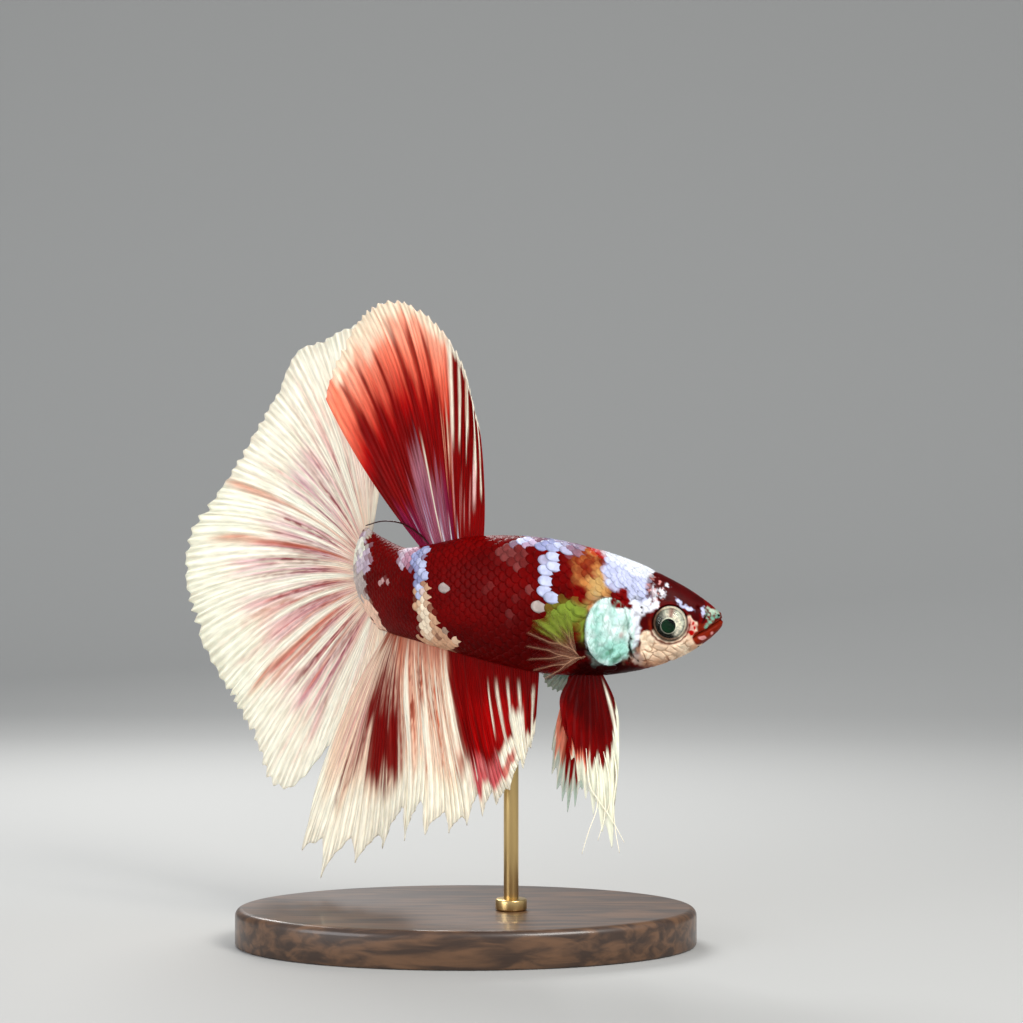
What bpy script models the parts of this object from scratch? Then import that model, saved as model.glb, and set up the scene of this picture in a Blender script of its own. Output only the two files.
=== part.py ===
"""Halfmoon betta fish, life size, in a left-turning swimming pose on a plain display stand.

The fish faces +X and its right flank faces -Y. +Z is up, and the origin is the centre of the
stand's underside. Sizes are in millimetres, and build_mesh turns them into metres.

The body is a loft along a spine that bends in plan. A distance s along the spine, from the
snout, places every section. The three median fins are sheets that stand on the same plan curve,
each a fan of rays between a root line on the body and a margin.
"""

import bisect
import math

import bmesh
import bpy
from mathutils import Vector

MM = 0.001

# Stand
BASE_LENGTH = 50.0
BASE_WIDTH = 32.0
BASE_THICK = 4.0
BASE_EDGE = 0.8
ROD_RADIUS = 0.8
ROD_SPINE = 23.5
ROD_SIDE = -2.3
ROD_SINK = 3.0

# Spine in plan
SNOUT = (27.5, -6.0)
LEVEL = 35.5
BEND = math.radians(50.0)
BEND_START = 9.0
BEND_END = 44.0
SPINE_STEP = 0.25

# Body sections: distance from the snout, back height, belly height, half width
SECTIONS = (
    (0.0, 0.3, -0.6, 0.55),
    (1.6, 1.8, -2.3, 1.55),
    (4.6, 3.8, -4.2, 2.55),
    (9.4, 6.1, -5.7, 3.40),
    (14.7, 7.8, -6.2, 3.85),
    (20.5, 8.8, -5.75, 3.90),
    (27.0, 8.8, -4.40, 3.35),
    (33.5, 7.75, -3.05, 2.60),
    (36.5, 7.5, -2.55, 2.15),
    (40.0, 8.5, -2.25, 1.55),
    (43.0, 9.7, -1.9, 1.05),
)
SECTION_POWER = 2.2
BROADEST = 0.5
TAIL_BULGE = 2.6
TAIL_SKEW = 1.4
BULGE_START = 36.0

# Cuts between the lengths of the body, and the gap kept between any two pieces
HEAD_END = 14.6
TRUNK_END = 31.0
TAIL_END = 43.0
GAP = 0.3

# Head
EYE_SPINE = 5.95
EYE_HEIGHT = -0.35
EYE_RADIUS = 1.85
EYE_DEPTH = 1.25
EYE_INSET = 0.45
SOCKET_GAP = 0.25
MOUTH_TIP = (-0.6, 0.05)
MOUTH_CORNER = (2.3, -1.55)
MOUTH_GAP = 0.3
COVER_CENTRE = (12.2, -1.3)
COVER_HALF = (2.45, 3.6)
COVER_THICK = 0.5
COVER_BED = 0.85

# Fins: sheet thickness, and the plan curve that each median fin follows off the spine
FIN_THICK = 0.55
FAN_CENTRE = (41.5, 3.7)
FAN_TOP = math.radians(94.0)
FAN_BOTTOM = math.radians(-91.0)

# Caudal margin: angle in degrees, radius from the fan's centre
FAN_RADII = (
    (94.0, 29.8),
    (70.0, 29.3),
    (60.0, 30.3),
    (50.0, 28.3),
    (35.0, 27.2),
    (22.0, 27.4),
    (10.0, 29.9),
    (-14.0, 29.8),
    (-30.0, 28.7),
    (-44.0, 28.9),
    (-52.0, 30.6),
    (-58.0, 28.6),
    (-65.0, 21.0),
    (-74.0, 22.5),
    (-83.0, 26.0),
    (-91.0, 25.5),
)

# Dorsal and anal margins: share of the way from the first ray to the last, spine distance, height
DORSAL_MARGIN = (
    (0.0, 26.0, 20.5),
    (0.18, 27.4, 27.0),
    (0.34, 30.6, 31.4),
    (0.50, 34.8, 34.2),
    (0.64, 38.8, 33.9),
    (0.78, 42.6, 31.2),
    (0.90, 45.2, 27.8),
    (1.0, 46.4, 24.1),
)
ANAL_MARGIN = (
    (0.0, 20.2, -13.2),
    (0.10, 21.6, -17.0),
    (0.22, 24.6, -20.6),
    (0.36, 28.4, -23.0),
    (0.52, 33.5, -24.4),
    (0.68, 39.5, -26.6),
    (0.82, 45.5, -29.4),
    (0.91, 49.6, -30.0),
    (0.97, 51.2, -26.5),
    (1.0, 50.0, -20.5),
)
DORSAL_ROOT = (25.9, 33.4)
ANAL_ROOT = (19.6, 38.6)


def ease(share):
    """A smooth step from 0 to 1."""
    share = min(max(share, 0.0), 1.0)
    return share * share * (3.0 - 2.0 * share)


def through(stations, at, column):
    """A smooth curve through one column of a table whose first column is the place."""
    places = [row[0] for row in stations]
    last = len(places) - 1
    if places[0] > places[-1]:
        return through(stations[::-1], at, column)
    at = min(max(at, places[0]), places[-1])
    i = min(max(bisect.bisect_right(places, at) - 1, 0), last - 1)

    def slope(k):
        a, b = max(k - 1, 0), min(k + 1, last)
        return (stations[b][column] - stations[a][column]) / (places[b] - places[a])

    span = places[i + 1] - places[i]
    t = (at - places[i]) / span
    low, high = stations[i][column], stations[i + 1][column]
    return (
        low * (1 + 2 * t) * (1 - t) ** 2
        + high * (3 - 2 * t) * t * t
        + slope(i) * span * t * (1 - t) ** 2
        - slope(i + 1) * span * t * t * (1 - t)
    )


def body_heading(s):
    """How far the spine has turned away from straight back, at distance s."""
    return BEND * ease((s - BEND_START) / (BEND_END - BEND_START))


class PlanCurve:
    """A curve in plan: the spine up to a point, then a tail that turns to its own heading."""

    def __init__(self, leaves, end_heading=0.0, turn_length=1.0, reach=80.0):
        start = body_heading(leaves)
        end = math.radians(end_heading)
        self.points = [SNOUT]
        self.headings = [0.0]
        for i in range(int(reach / SPINE_STEP)):
            s = (i + 0.5) * SPINE_STEP
            past = min(max((s - leaves) / turn_length, 0.0), 1.0)
            turned = body_heading(s) if s < leaves else start + (end - start) * past
            x, y = self.points[-1]
            self.points.append(
                (x - math.cos(turned) * SPINE_STEP, y + math.sin(turned) * SPINE_STEP)
            )
            self.headings.append(turned)

    def at(self, s, side=0.0, height=0.0):
        """The point at distance s, moved sideways towards the fish's right, at a height."""
        steps = min(max(s / SPINE_STEP, -8.0), len(self.points) - 1.001)
        i = int(max(steps, 0.0))
        t = steps - i
        (x0, y0), (x1, y1) = self.points[i], self.points[i + 1]
        turned = self.headings[i] + (self.headings[i + 1] - self.headings[i]) * t
        return Vector(
            (
                x0 + (x1 - x0) * t - math.sin(turned) * side,
                y0 + (y1 - y0) * t - math.cos(turned) * side,
                LEVEL + height,
            )
        )


SPINE = PlanCurve(80.0)
CAUDAL_PLAN = PlanCurve(41.5, 30.0, 28.0)
DORSAL_PLAN = PlanCurve(33.5, 24.0, 18.0)
ANAL_PLAN = PlanCurve(40.5, 34.0, 20.0)


def back(s):
    return through(SECTIONS, s, 1)


def belly(s):
    return through(SECTIONS, s, 2)


def half_width(s):
    return through(SECTIONS, s, 3)


def middle(s):
    """Height of the broadest level of the section."""
    return belly(s) + (back(s) - belly(s)) * BROADEST


def tail_shift(s, rise):
    """How far back the rounded end of the tail stalk reaches at a share of its height."""
    share = ease((s - BULGE_START) / (TAIL_END - BULGE_START))
    return share * (TAIL_BULGE * (1.0 - rise * rise) + TAIL_SKEW * (rise - 1.0))


def half_width_at(s, height):
    """Half the body's width at a height in the section at s."""
    mid = middle(s)
    reach = back(s) - mid if height > mid else mid - belly(s)
    share = min(abs(height - mid) / reach, 1.0)
    return half_width(s) * (1.0 - share**SECTION_POWER) ** (1.0 / SECTION_POWER)


def body_point(s, turn, shrink=0.0):
    """A point of the skin at distance s, turn going once round from the right flank upwards."""
    power = 2.0 / SECTION_POWER
    across = math.copysign(abs(math.cos(turn)) ** power, math.cos(turn))
    rise = math.copysign(abs(math.sin(turn)) ** power, math.sin(turn))
    mid = middle(s)
    reach = back(s) - mid if rise > 0 else mid - belly(s)
    side = (half_width(s) - shrink) * across
    return SPINE.at(s + tail_shift(s, rise), side, mid + reach * rise)


def material(name, colour, roughness, metallic=0.0):
    """A Principled material."""
    made = bpy.data.materials.new(name)
    made.use_nodes = True
    shader = made.node_tree.nodes["Principled BSDF"]
    shader.inputs["Base Color"].default_value = (*colour, 1.0)
    shader.inputs["Roughness"].default_value = roughness
    shader.inputs["Metallic"].default_value = metallic
    return made


def build_mesh(name, bm, finish, smooth=True):
    """Turns a bmesh in millimetres into an object in metres."""
    bmesh.ops.scale(bm, vec=(MM, MM, MM), verts=bm.verts)
    mesh = bpy.data.meshes.new(name)
    bm.to_mesh(mesh)
    bm.free()
    mesh.materials.append(finish)
    if smooth:
        mesh.shade_smooth()
    made = bpy.data.objects.new(name, mesh)
    bpy.context.scene.collection.objects.link(made)
    return made


def sheet(columns, rows, place):
    """A grid whose corner at share (t, r) goes where place(t, r) says."""
    bm = bmesh.new()
    bmesh.ops.create_grid(bm, x_segments=columns, y_segments=rows, size=1.0)
    for vert in bm.verts:
        vert.co = place((vert.co.x + 1.0) / 2.0, (vert.co.y + 1.0) / 2.0)
    return bm


def tube(columns, rows, place):
    """A closed loft: t goes once round, r along, and both ends are capped."""
    bm = sheet(columns, rows, place)
    bmesh.ops.remove_doubles(bm, verts=bm.verts, dist=1e-4)
    bmesh.ops.holes_fill(bm, edges=bm.edges, sides=columns + 1)
    bmesh.ops.triangulate(bm, faces=[f for f in bm.faces if len(f.verts) > 4])
    bmesh.ops.recalc_face_normals(bm, faces=bm.faces)
    return bm


def ball(centre, radii, columns, rows):
    """A squashed ball, its flat way along Y."""
    bm = bmesh.new()
    bmesh.ops.create_uvsphere(bm, u_segments=columns, v_segments=rows, radius=1.0)
    bmesh.ops.scale(bm, vec=radii, verts=bm.verts)
    bmesh.ops.translate(bm, vec=centre, verts=bm.verts)
    return bm


def cut(target, cutter):
    """Cuts a hidden cutter out of the target."""
    cutter.hide_render = True
    cutter.display_type = "WIRE"
    step = target.modifiers.new("cut_" + cutter.name, "BOOLEAN")
    step.operation = "DIFFERENCE"
    step.object = cutter


def body_length(name, start, end, rows, finish, shrink=lambda s: 0.0):
    """One length of the body between two cuts."""

    def place(t, r):
        s = start + (end - start) * r
        return body_point(s, 2.0 * math.pi * t, shrink(s))

    return build_mesh(name, tube(28, rows, place), finish)


def eye_centre(side):
    """Centre of the right (1) or left (-1) eye."""
    out = half_width_at(EYE_SPINE, EYE_HEIGHT) - EYE_INSET
    return SPINE.at(EYE_SPINE, side * out, EYE_HEIGHT)


def cover_bed(s):
    """How far the head is let in under the gill covers."""
    reach = COVER_HALF[0] + 1.2
    return COVER_BED * ease(1.6 * (1.0 - abs(s - COVER_CENTRE[0]) / reach))


def make_head(skin, eye_finish):
    """The head with its eye sockets and mouth, and the two eyes."""

    def place(t, r):
        s = HEAD_END * r**1.25
        return body_point(s, 2.0 * math.pi * t, cover_bed(s))

    head = build_mesh("head", tube(28, 15, place), skin)
    for side, word in ((1, "right"), (-1, "left")):
        radii = (EYE_RADIUS, EYE_DEPTH, EYE_RADIUS)
        wide = [r + SOCKET_GAP for r in radii]
        build_mesh("eye_" + word, ball(eye_centre(side), radii, 18, 10), eye_finish)
        cut(head, build_mesh("socket_" + word, ball(eye_centre(side), wide, 16, 10), skin))
    cut(head, make_mouth_cutter(skin))


def make_mouth_cutter(finish):
    """A thin wedge that opens the mouth from the tip of the snout to its corner."""
    bm = bmesh.new()
    bmesh.ops.create_cube(bm, size=1.0)
    tip = SPINE.at(MOUTH_TIP[0], 0.0, MOUTH_TIP[1])
    corner = SPINE.at(MOUTH_CORNER[0], 0.0, MOUTH_CORNER[1])
    tip.x = SNOUT[0] - MOUTH_TIP[0]
    for vert in bm.verts:
        at_tip = vert.co.x > 0
        opening = MOUTH_GAP * (0.5 if at_tip else 0.2)
        end = tip if at_tip else corner
        lift = math.copysign(opening, vert.co.z)
        vert.co = Vector((end.x, end.y + vert.co.y * 8.0, end.z + lift))
    return build_mesh("mouth_cutter", bm, finish)


def make_gill_cover(word, side, finish):
    """A thin curved plate that lies over the gills behind the cheek."""

    def place(t, r):
        turn = 2.0 * math.pi * t
        s = COVER_CENTRE[0] + COVER_HALF[0] * r * math.cos(turn)
        height = COVER_CENTRE[1] + COVER_HALF[1] * r * math.sin(turn)
        crown = 0.15 * (1.0 - r * r)
        out = half_width_at(s, height) - COVER_THICK / 2.0 + crown
        return SPINE.at(s, side * out, height)

    bm = sheet(20, 3, place)
    bmesh.ops.remove_doubles(bm, verts=bm.verts, dist=1e-4)
    bmesh.ops.recalc_face_normals(bm, faces=bm.faces)
    cover = build_mesh("gill_cover_" + word, bm, finish)
    thicken(cover, COVER_THICK)


def thicken(obj, thickness):
    """Gives a sheet its thickness, half to each side."""
    step = obj.modifiers.new("thickness", "SOLIDIFY")
    step.thickness = thickness * MM
    step.offset = 0.0


def between(root, tip, r, bow):
    """A point on a ray in the sheet, bowed sideways from the straight line."""
    along = (tip[0] - root[0], tip[1] - root[1])
    bulge = 4.0 * bow * r * (1.0 - r)
    length = math.hypot(*along)
    return (
        root[0] + along[0] * r - along[1] / length * bulge,
        root[1] + along[1] * r + along[0] / length * bulge,
    )


def tooth(t, teeth, depth):
    """Length share of the margin at t: full at a tooth's point, less in the notches."""
    return 1.0 - depth * abs(math.cos(math.pi * teeth * t))


def caudal_point(t, r, teeth=40):
    """The tail fin: a half circle of rays from the rounded end of the tail stalk."""
    rise = 1.0 - 2.0 * t
    mid = middle(TAIL_END)
    reach = back(TAIL_END) - mid if rise > 0 else mid - belly(TAIL_END)
    root = (TAIL_END + tail_shift(TAIL_END, rise) + GAP, mid + reach * rise * 0.97)
    angle = FAN_TOP + (FAN_BOTTOM - FAN_TOP) * t
    radius = through(FAN_RADII, math.degrees(angle), 1) * tooth(t, teeth, 0.025)
    tip = (
        FAN_CENTRE[0] + radius * math.cos(angle),
        FAN_CENTRE[1] + radius * math.sin(angle),
    )
    s, height = between(root, tip, r, 0.0)
    away = 0.10 + 0.03 * ease((t - 0.6) * 3.0)
    wave = 0.8 * r * math.sin(math.pi * 5.0 * t + 0.6)
    side = -radius * away * r * abs(rise) ** 1.5 + wave * r
    return CAUDAL_PLAN.at(s, side, height)


def dorsal_point(t, r, teeth=22):
    """The back fin: rays from short upright ones in front to long swept ones behind."""
    s0 = DORSAL_ROOT[0] + (DORSAL_ROOT[1] - DORSAL_ROOT[0]) * t
    root = (s0, back(s0) + GAP)
    tip = (through(DORSAL_MARGIN, t, 1), through(DORSAL_MARGIN, t, 2))
    s, height = between(root, tip, r * tooth(t, teeth, 0.04), -1.1 * t + 0.25 * (1.0 - t))
    side = 0.075 * (height - root[1]) + 0.5 * r * math.sin(math.pi * 4.0 * t)
    return DORSAL_PLAN.at(s, side * r, height)


def anal_point(t, r, teeth=19):
    """The belly fin: rays that lengthen and sweep back towards the tail."""
    s0 = ANAL_ROOT[0] + (ANAL_ROOT[1] - ANAL_ROOT[0]) * t
    root = (s0, belly(s0) - GAP)
    tip = (through(ANAL_MARGIN, t, 1), through(ANAL_MARGIN, t, 2))
    s, height = between(root, tip, r * tooth(t, teeth, 0.09), 1.3 * t)
    lean = 0.03 + 0.05 * ease((t - 0.35) * 2.0)
    side = lean * (root[1] - height) + 0.6 * r * r * math.sin(math.pi * 5.0 * t)
    return ANAL_PLAN.at(s, side + 0.25 * t, height)


def make_fin(name, columns, rows, place, finish):
    """A fin as a thin solid sheet."""
    fin = build_mesh(name, sheet(columns, rows, place), finish)
    thicken(fin, FIN_THICK)


class PairedFin:
    """A pelvic or pectoral fin: a small fan of rays from a short root on one flank."""

    def __init__(self, side, root, root_step, angles, lengths, tilt, curl=0.0):
        self.side = side
        self.root = root
        self.root_step = root_step
        self.angles = [math.radians(a) for a in angles]
        self.lengths = lengths
        self.tilt = math.radians(tilt)
        self.curl = curl

    def point(self, t, r):
        """Angles are measured from straight back, upwards; the tilt is away from the flank."""
        angle = self.angles[0] + (self.angles[1] - self.angles[0]) * t
        steps = len(self.lengths) - 1
        i = min(int(t * steps), steps - 1)
        length = self.lengths[i] + (self.lengths[i + 1] - self.lengths[i]) * (t * steps - i)
        reach = length * r
        s0 = self.root[0] + self.root_step[0] * (t - 0.5)
        height = self.root[1] + self.root_step[1] * (t - 0.5)
        flat = reach * math.cos(self.tilt)
        side = self.root[2] + reach * math.sin(self.tilt) + self.curl * r * r
        s = s0 + flat * math.cos(angle)
        return SPINE.at(s, self.side * side, height + flat * math.sin(angle))


def pelvic(side):
    """The long narrow blade under the breast. The two trail a little apart."""
    if side > 0:
        lengths = (5.4, 8.0, 10.2, 12.2, 14.2, 16.4, 18.2, 9.5)
        return PairedFin(1, (14.4, -6.6, 1.0), (-3.2, 0.0), (-83.0, -97.0), lengths, 5.0)
    lengths = (7.0, 10.6, 12.0, 13.4, 15.0, 14.2, 11.5, 6.0)
    return PairedFin(-1, (15.4, -6.6, 1.0), (-2.6, 0.0), (-74.0, -90.0), lengths, 8.0)


def pectoral(side):
    """The clear fan behind the gill cover. The left one is held lower."""
    if side > 0:
        lengths = (5.0, 6.0, 5.8, 5.3, 4.7, 3.8)
        return PairedFin(1, (15.4, -3.7, 4.3), (-0.2, -0.9), (84.0, -40.0), lengths, 24.0)
    lengths = (4.2, 5.2, 5.8, 6.2, 5.6, 4.2)
    return PairedFin(-1, (15.4, -3.7, 4.3), (-0.3, -0.9), (0.0, -66.0), lengths, 16.0, -0.8)


def make_stand(wood, brass):
    """An oval base, and a rod that stands behind the belly fin and enters the belly."""
    bm = bmesh.new()
    bmesh.ops.create_cone(
        bm, cap_ends=True, segments=48, radius1=0.5, radius2=0.5, depth=BASE_THICK
    )
    bmesh.ops.scale(bm, vec=(BASE_LENGTH, BASE_WIDTH, 1.0), verts=bm.verts)
    bmesh.ops.translate(bm, vec=(0.0, 0.0, BASE_THICK / 2.0), verts=bm.verts)
    rim = [e for e in bm.edges if all(v.co.z > BASE_THICK - 0.01 for v in e.verts)]
    bmesh.ops.bevel(
        bm, geom=rim, offset=BASE_EDGE, segments=2, profile=0.5, affect="EDGES", material=-1
    )
    build_mesh("stand_base", bm, wood, smooth=False)

    foot = SPINE.at(ROD_SPINE, ROD_SIDE)
    top = LEVEL + belly(ROD_SPINE) + ROD_SINK
    build_mesh("stand_rod", rod(foot, BASE_THICK + 0.02, top, ROD_RADIUS), brass)
    socket = rod(foot, BASE_THICK + 10.0, top + GAP, ROD_RADIUS + GAP)
    return build_mesh("rod_socket", socket, brass)


def rod(foot, low, high, radius):
    """An upright round bar."""
    bm = bmesh.new()
    bmesh.ops.create_cone(
        bm, cap_ends=True, segments=16, radius1=radius, radius2=radius, depth=high - low
    )
    bmesh.ops.translate(bm, vec=(foot.x, foot.y, (low + high) / 2.0), verts=bm.verts)
    return bm


def main():
    for obj in list(bpy.data.objects):
        bpy.data.objects.remove(obj)
    red = material("deep_red_skin", (0.13, 0.0, 0.004), 0.35)
    pearl = material("pearl_scale", (0.62, 0.76, 0.76), 0.30)
    cream = material("cream_fin", (0.90, 0.78, 0.62), 0.40)
    scarlet = material("red_fin", (0.40, 0.02, 0.02), 0.40)
    clear = material("clear_fin", (0.50, 0.52, 0.30), 0.35)
    iris = material("eye", (0.30, 0.30, 0.24), 0.12)
    wood = material("stand_wood", (0.07, 0.035, 0.018), 0.45)
    brass = material("stand_brass", (0.70, 0.52, 0.26), 0.30, 1.0)

    make_head(red, iris)
    trunk = body_length("trunk", HEAD_END + GAP, TRUNK_END, 10, red)
    body_length("tail_stalk", TRUNK_END + GAP, TAIL_END, 9, red)
    for side, word in ((1, "right"), (-1, "left")):
        make_gill_cover(word, side, pearl)
        make_fin("pelvic_fin_" + word, 14, 5, pelvic(side).point, scarlet)
        make_fin("pectoral_fin_" + word, 15, 4, pectoral(side).point, clear)
    make_fin("caudal_fin", 80, 5, caudal_point, cream)
    make_fin("dorsal_fin", 44, 5, dorsal_point, scarlet)
    make_fin("anal_fin", 57, 5, anal_point, cream)
    cut(trunk, make_stand(wood, brass))


main()
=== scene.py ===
"""A halfmoon betta fish on its display stand: skin, scales, eyes, fins and stand, with their finishes.

Lengths in the classes are millimetres, in the frame's axes: the fish faces +X, its right flank faces
-Y and +Z is up. A finished mesh is scaled to metres. A distance s runs back along the spine from the
snout, a height is measured from the level of the snout, and side is positive towards the right flank.
"""

import logging
import math
import random
from bisect import bisect_right
from dataclasses import dataclass, field
from enum import Enum
from typing import Callable, Iterable

import bmesh
import bpy
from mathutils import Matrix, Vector, noise


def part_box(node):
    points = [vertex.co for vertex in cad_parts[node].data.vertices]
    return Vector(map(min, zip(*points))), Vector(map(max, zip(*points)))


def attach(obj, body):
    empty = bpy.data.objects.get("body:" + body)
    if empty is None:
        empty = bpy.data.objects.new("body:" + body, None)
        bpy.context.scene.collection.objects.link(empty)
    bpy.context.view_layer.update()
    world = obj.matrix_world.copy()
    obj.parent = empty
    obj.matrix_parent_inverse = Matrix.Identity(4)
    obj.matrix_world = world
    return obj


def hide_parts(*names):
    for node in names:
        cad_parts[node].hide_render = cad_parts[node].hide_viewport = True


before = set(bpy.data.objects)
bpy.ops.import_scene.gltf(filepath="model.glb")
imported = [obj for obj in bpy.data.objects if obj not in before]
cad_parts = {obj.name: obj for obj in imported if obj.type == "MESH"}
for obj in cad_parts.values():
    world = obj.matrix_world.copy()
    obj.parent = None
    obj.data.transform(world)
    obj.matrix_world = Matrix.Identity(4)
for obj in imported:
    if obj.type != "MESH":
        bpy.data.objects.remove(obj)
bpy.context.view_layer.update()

LOG = logging.getLogger("betta")
MM = 0.001
TURN = 2.0 * math.pi
BODY = "root"
MARKINGS, PEARL, RELIEF = "Markings", "Pearl", "Relief"
RAY_MAP, BAKE_MAP = "RayMap", "OFBake"

Colour = tuple[float, float, float]
Spot = tuple[float, float]
Table = tuple[tuple[float, ...], ...]


# ---------------------------------------------------------------- small sums


def clamp(value: float, low: float = 0.0, high: float = 1.0) -> float:
    """Keeps a value between two limits."""
    return min(max(value, low), high)


def ease(share: float) -> float:
    """Smooth step of a share, which is clamped to 0 and 1."""
    share = clamp(share)
    return share * share * (3.0 - 2.0 * share)


def rise(value: float, low: float, high: float) -> float:
    """Smooth step of a value between two limits, which may run downwards."""
    return ease((value - low) / (high - low))


def lerp(first: float, second: float, share: float) -> float:
    """The value at a share of the way from the first to the second."""
    return first + (second - first) * share


def blend(first: Colour, second: Colour, amount: float) -> Colour:
    """Mixes two colours; the amount of the second is clamped to 0 and 1."""
    amount = clamp(amount)
    return tuple(a + (b - a) * amount for a, b in zip(first, second))


def waver(x: float, y: float = 0.0, z: float = 0.0) -> float:
    """Smooth noise between -1 and 1 at a place."""
    return noise.noise(Vector((x, y, z + 0.37)))


def ridge(distance: float, width: float) -> float:
    """A rounded ridge of height 1 that fades over a width."""
    return math.exp(-((distance / width) ** 2))


def through(table: Table, at: float, column: int) -> float:
    """Reads a smooth curve through one column of a table.

    Args:
        table: Rows in the order of their first value.
        at: Place along the first column.
        column: Column to read.

    Returns:
        The curve's value.
    """
    places = [row[0] for row in table]
    last = len(places) - 1
    at = clamp(at, places[0], places[-1])
    i = int(clamp(bisect_right(places, at) - 1, 0, last - 1))

    def slope(k: int) -> float:
        """The slope of the table at a row."""
        a, b = max(k - 1, 0), min(k + 1, last)
        return (table[b][column] - table[a][column]) / (places[b] - places[a])

    span = places[i + 1] - places[i]
    t = (at - places[i]) / span
    return (
        table[i][column] * (1 + 2 * t) * (1 - t) ** 2
        + table[i + 1][column] * (3 - 2 * t) * t * t
        + slope(i) * span * t * (1 - t) ** 2
        - slope(i + 1) * span * t * t * (1 - t)
    )


def from_path(spot: Spot, path: tuple[Spot, ...]) -> float:
    """Distance from a spot to a path of straight pieces, or to the one spot that a path may be."""
    best = math.dist(spot, path[0])
    for a, b in zip(path, path[1:]):
        x, y = b[0] - a[0], b[1] - a[1]
        share = clamp(((spot[0] - a[0]) * x + (spot[1] - a[1]) * y) / (x * x + y * y))
        best = min(best, math.hypot(spot[0] - a[0] - x * share, spot[1] - a[1] - y * share))
    return best


def node_box(name: str) -> tuple[Vector, Vector]:
    """Lowest and highest corner of a solid of the frame, in millimetres."""
    low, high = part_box(name)
    return low / MM, high / MM


class Tint(Enum):
    """The fish's colours, in 8-bit values as a painter would name them."""

    BLOOD = (112, 0, 3)
    WINE = (62, 1, 3)
    CLARET = (68, 0, 6)
    MAROON = (46, 2, 3)
    SCARLET = (182, 4, 8)
    CORAL = (255, 124, 96)
    SALMON = (226, 146, 118)
    BLUSH = (246, 197, 192)
    LILAC = (206, 186, 202)
    ROSE = (208, 140, 136)
    MAUVE = (178, 122, 142)
    GRAPE = (112, 28, 66)
    PLUM = (118, 38, 52)
    BRICK = (188, 92, 66)
    RUST = (122, 34, 16)
    BERRY = (212, 92, 96)
    CREAM = (250, 226, 196)
    IVORY = (254, 244, 219)
    MILK = (242, 242, 214)
    SAND = (208, 160, 128)
    PEACH = (240, 196, 170)
    CYAN = (166, 222, 208)
    FROST = (226, 248, 244)
    PEARL = (228, 231, 240)
    LAVENDER = (190, 194, 226)
    SLATE = (146, 150, 190)
    STONE = (182, 166, 160)
    AMBER = (190, 120, 66)
    STRAW = (192, 150, 92)
    MOSS = (128, 146, 56)
    TEAL = (104, 160, 138)
    MINT = (176, 204, 182)
    SMOKE = (158, 162, 148)
    INK = (8, 12, 10)

    @property
    def rgb(self) -> Colour:
        """The colour as linear values between 0 and 1."""
        return tuple((c / 255.0) ** 2.2 for c in self.value)


# ---------------------------------------------------------------- meshes


def finish_mesh(name: str, bm: bmesh.types.BMesh, material: bpy.types.Material) -> bpy.types.Object:
    """Turns a bmesh in millimetres, which is freed, into a smooth object in metres at the origin."""
    bmesh.ops.scale(bm, vec=(MM, MM, MM), verts=bm.verts)
    mesh = bpy.data.meshes.new(name)
    bm.to_mesh(mesh)
    bm.free()
    mesh.materials.append(material)
    mesh.shade_smooth()
    made = bpy.data.objects.new(name, mesh)
    bpy.context.scene.collection.objects.link(made)
    return made


def install(piece: bpy.types.Object, slot: str, nodes: Iterable[str] = ()) -> None:
    """Ties a piece to the frame and reports it.

    Args:
        piece: The finished piece.
        slot: Material slot name; not used.
        nodes: Solids that the piece stands for.
    """
    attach(piece, BODY)
    if nodes:
        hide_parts(*nodes)
    LOG.info("%s: %d faces", piece.name, len(piece.data.polygons))


def thicken(piece: bpy.types.Object, thickness: float) -> None:
    """Gives a sheet its thickness in millimetres, half to each side."""
    step = piece.modifiers.new("thickness", "SOLIDIFY")
    step.thickness = thickness * MM
    step.offset = 0.0


class Sheet:
    """A grid of vertices that remember their shares (t, r) of the sheet's two ways."""

    def __init__(self, columns: int, rows: int) -> None:
        """Starts a flat grid of columns along t and rows along r, with its map."""
        self.bm = bmesh.new()
        bmesh.ops.create_grid(self.bm, x_segments=columns, y_segments=rows, size=1.0)
        self.shares = [((v.co.x + 1.0) / 2.0, (v.co.y + 1.0) / 2.0) for v in self.bm.verts]
        flat = self.bm.loops.layers.uv.new(RAY_MAP)
        self.bm.verts.index_update()
        for face in self.bm.faces:
            for loop in face.loops:
                loop[flat].uv = self.shares[loop.vert.index]

    def shape(self, place: Callable[[float, float], Vector]) -> None:
        """Moves each vertex to where place(t, r) says."""
        for vert, (t, r) in zip(self.bm.verts, self.shares):
            vert.co = place(t, r)

    def paint(self, colour: Callable[[float, float], tuple[float, ...]]) -> None:
        """Stores colour(t, r), with its opacity, on each vertex."""
        layer = self.bm.verts.layers.float_color.new(MARKINGS)
        for vert, (t, r) in zip(self.bm.verts, self.shares):
            vert[layer] = colour(t, r)

    def close_round(self) -> None:
        """Joins the two edges that t brings together, and caps both ends."""
        bmesh.ops.remove_doubles(self.bm, verts=self.bm.verts, dist=1e-4)
        bmesh.ops.holes_fill(self.bm, edges=self.bm.edges, sides=0)
        bmesh.ops.recalc_face_normals(self.bm, faces=self.bm.faces)


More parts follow.
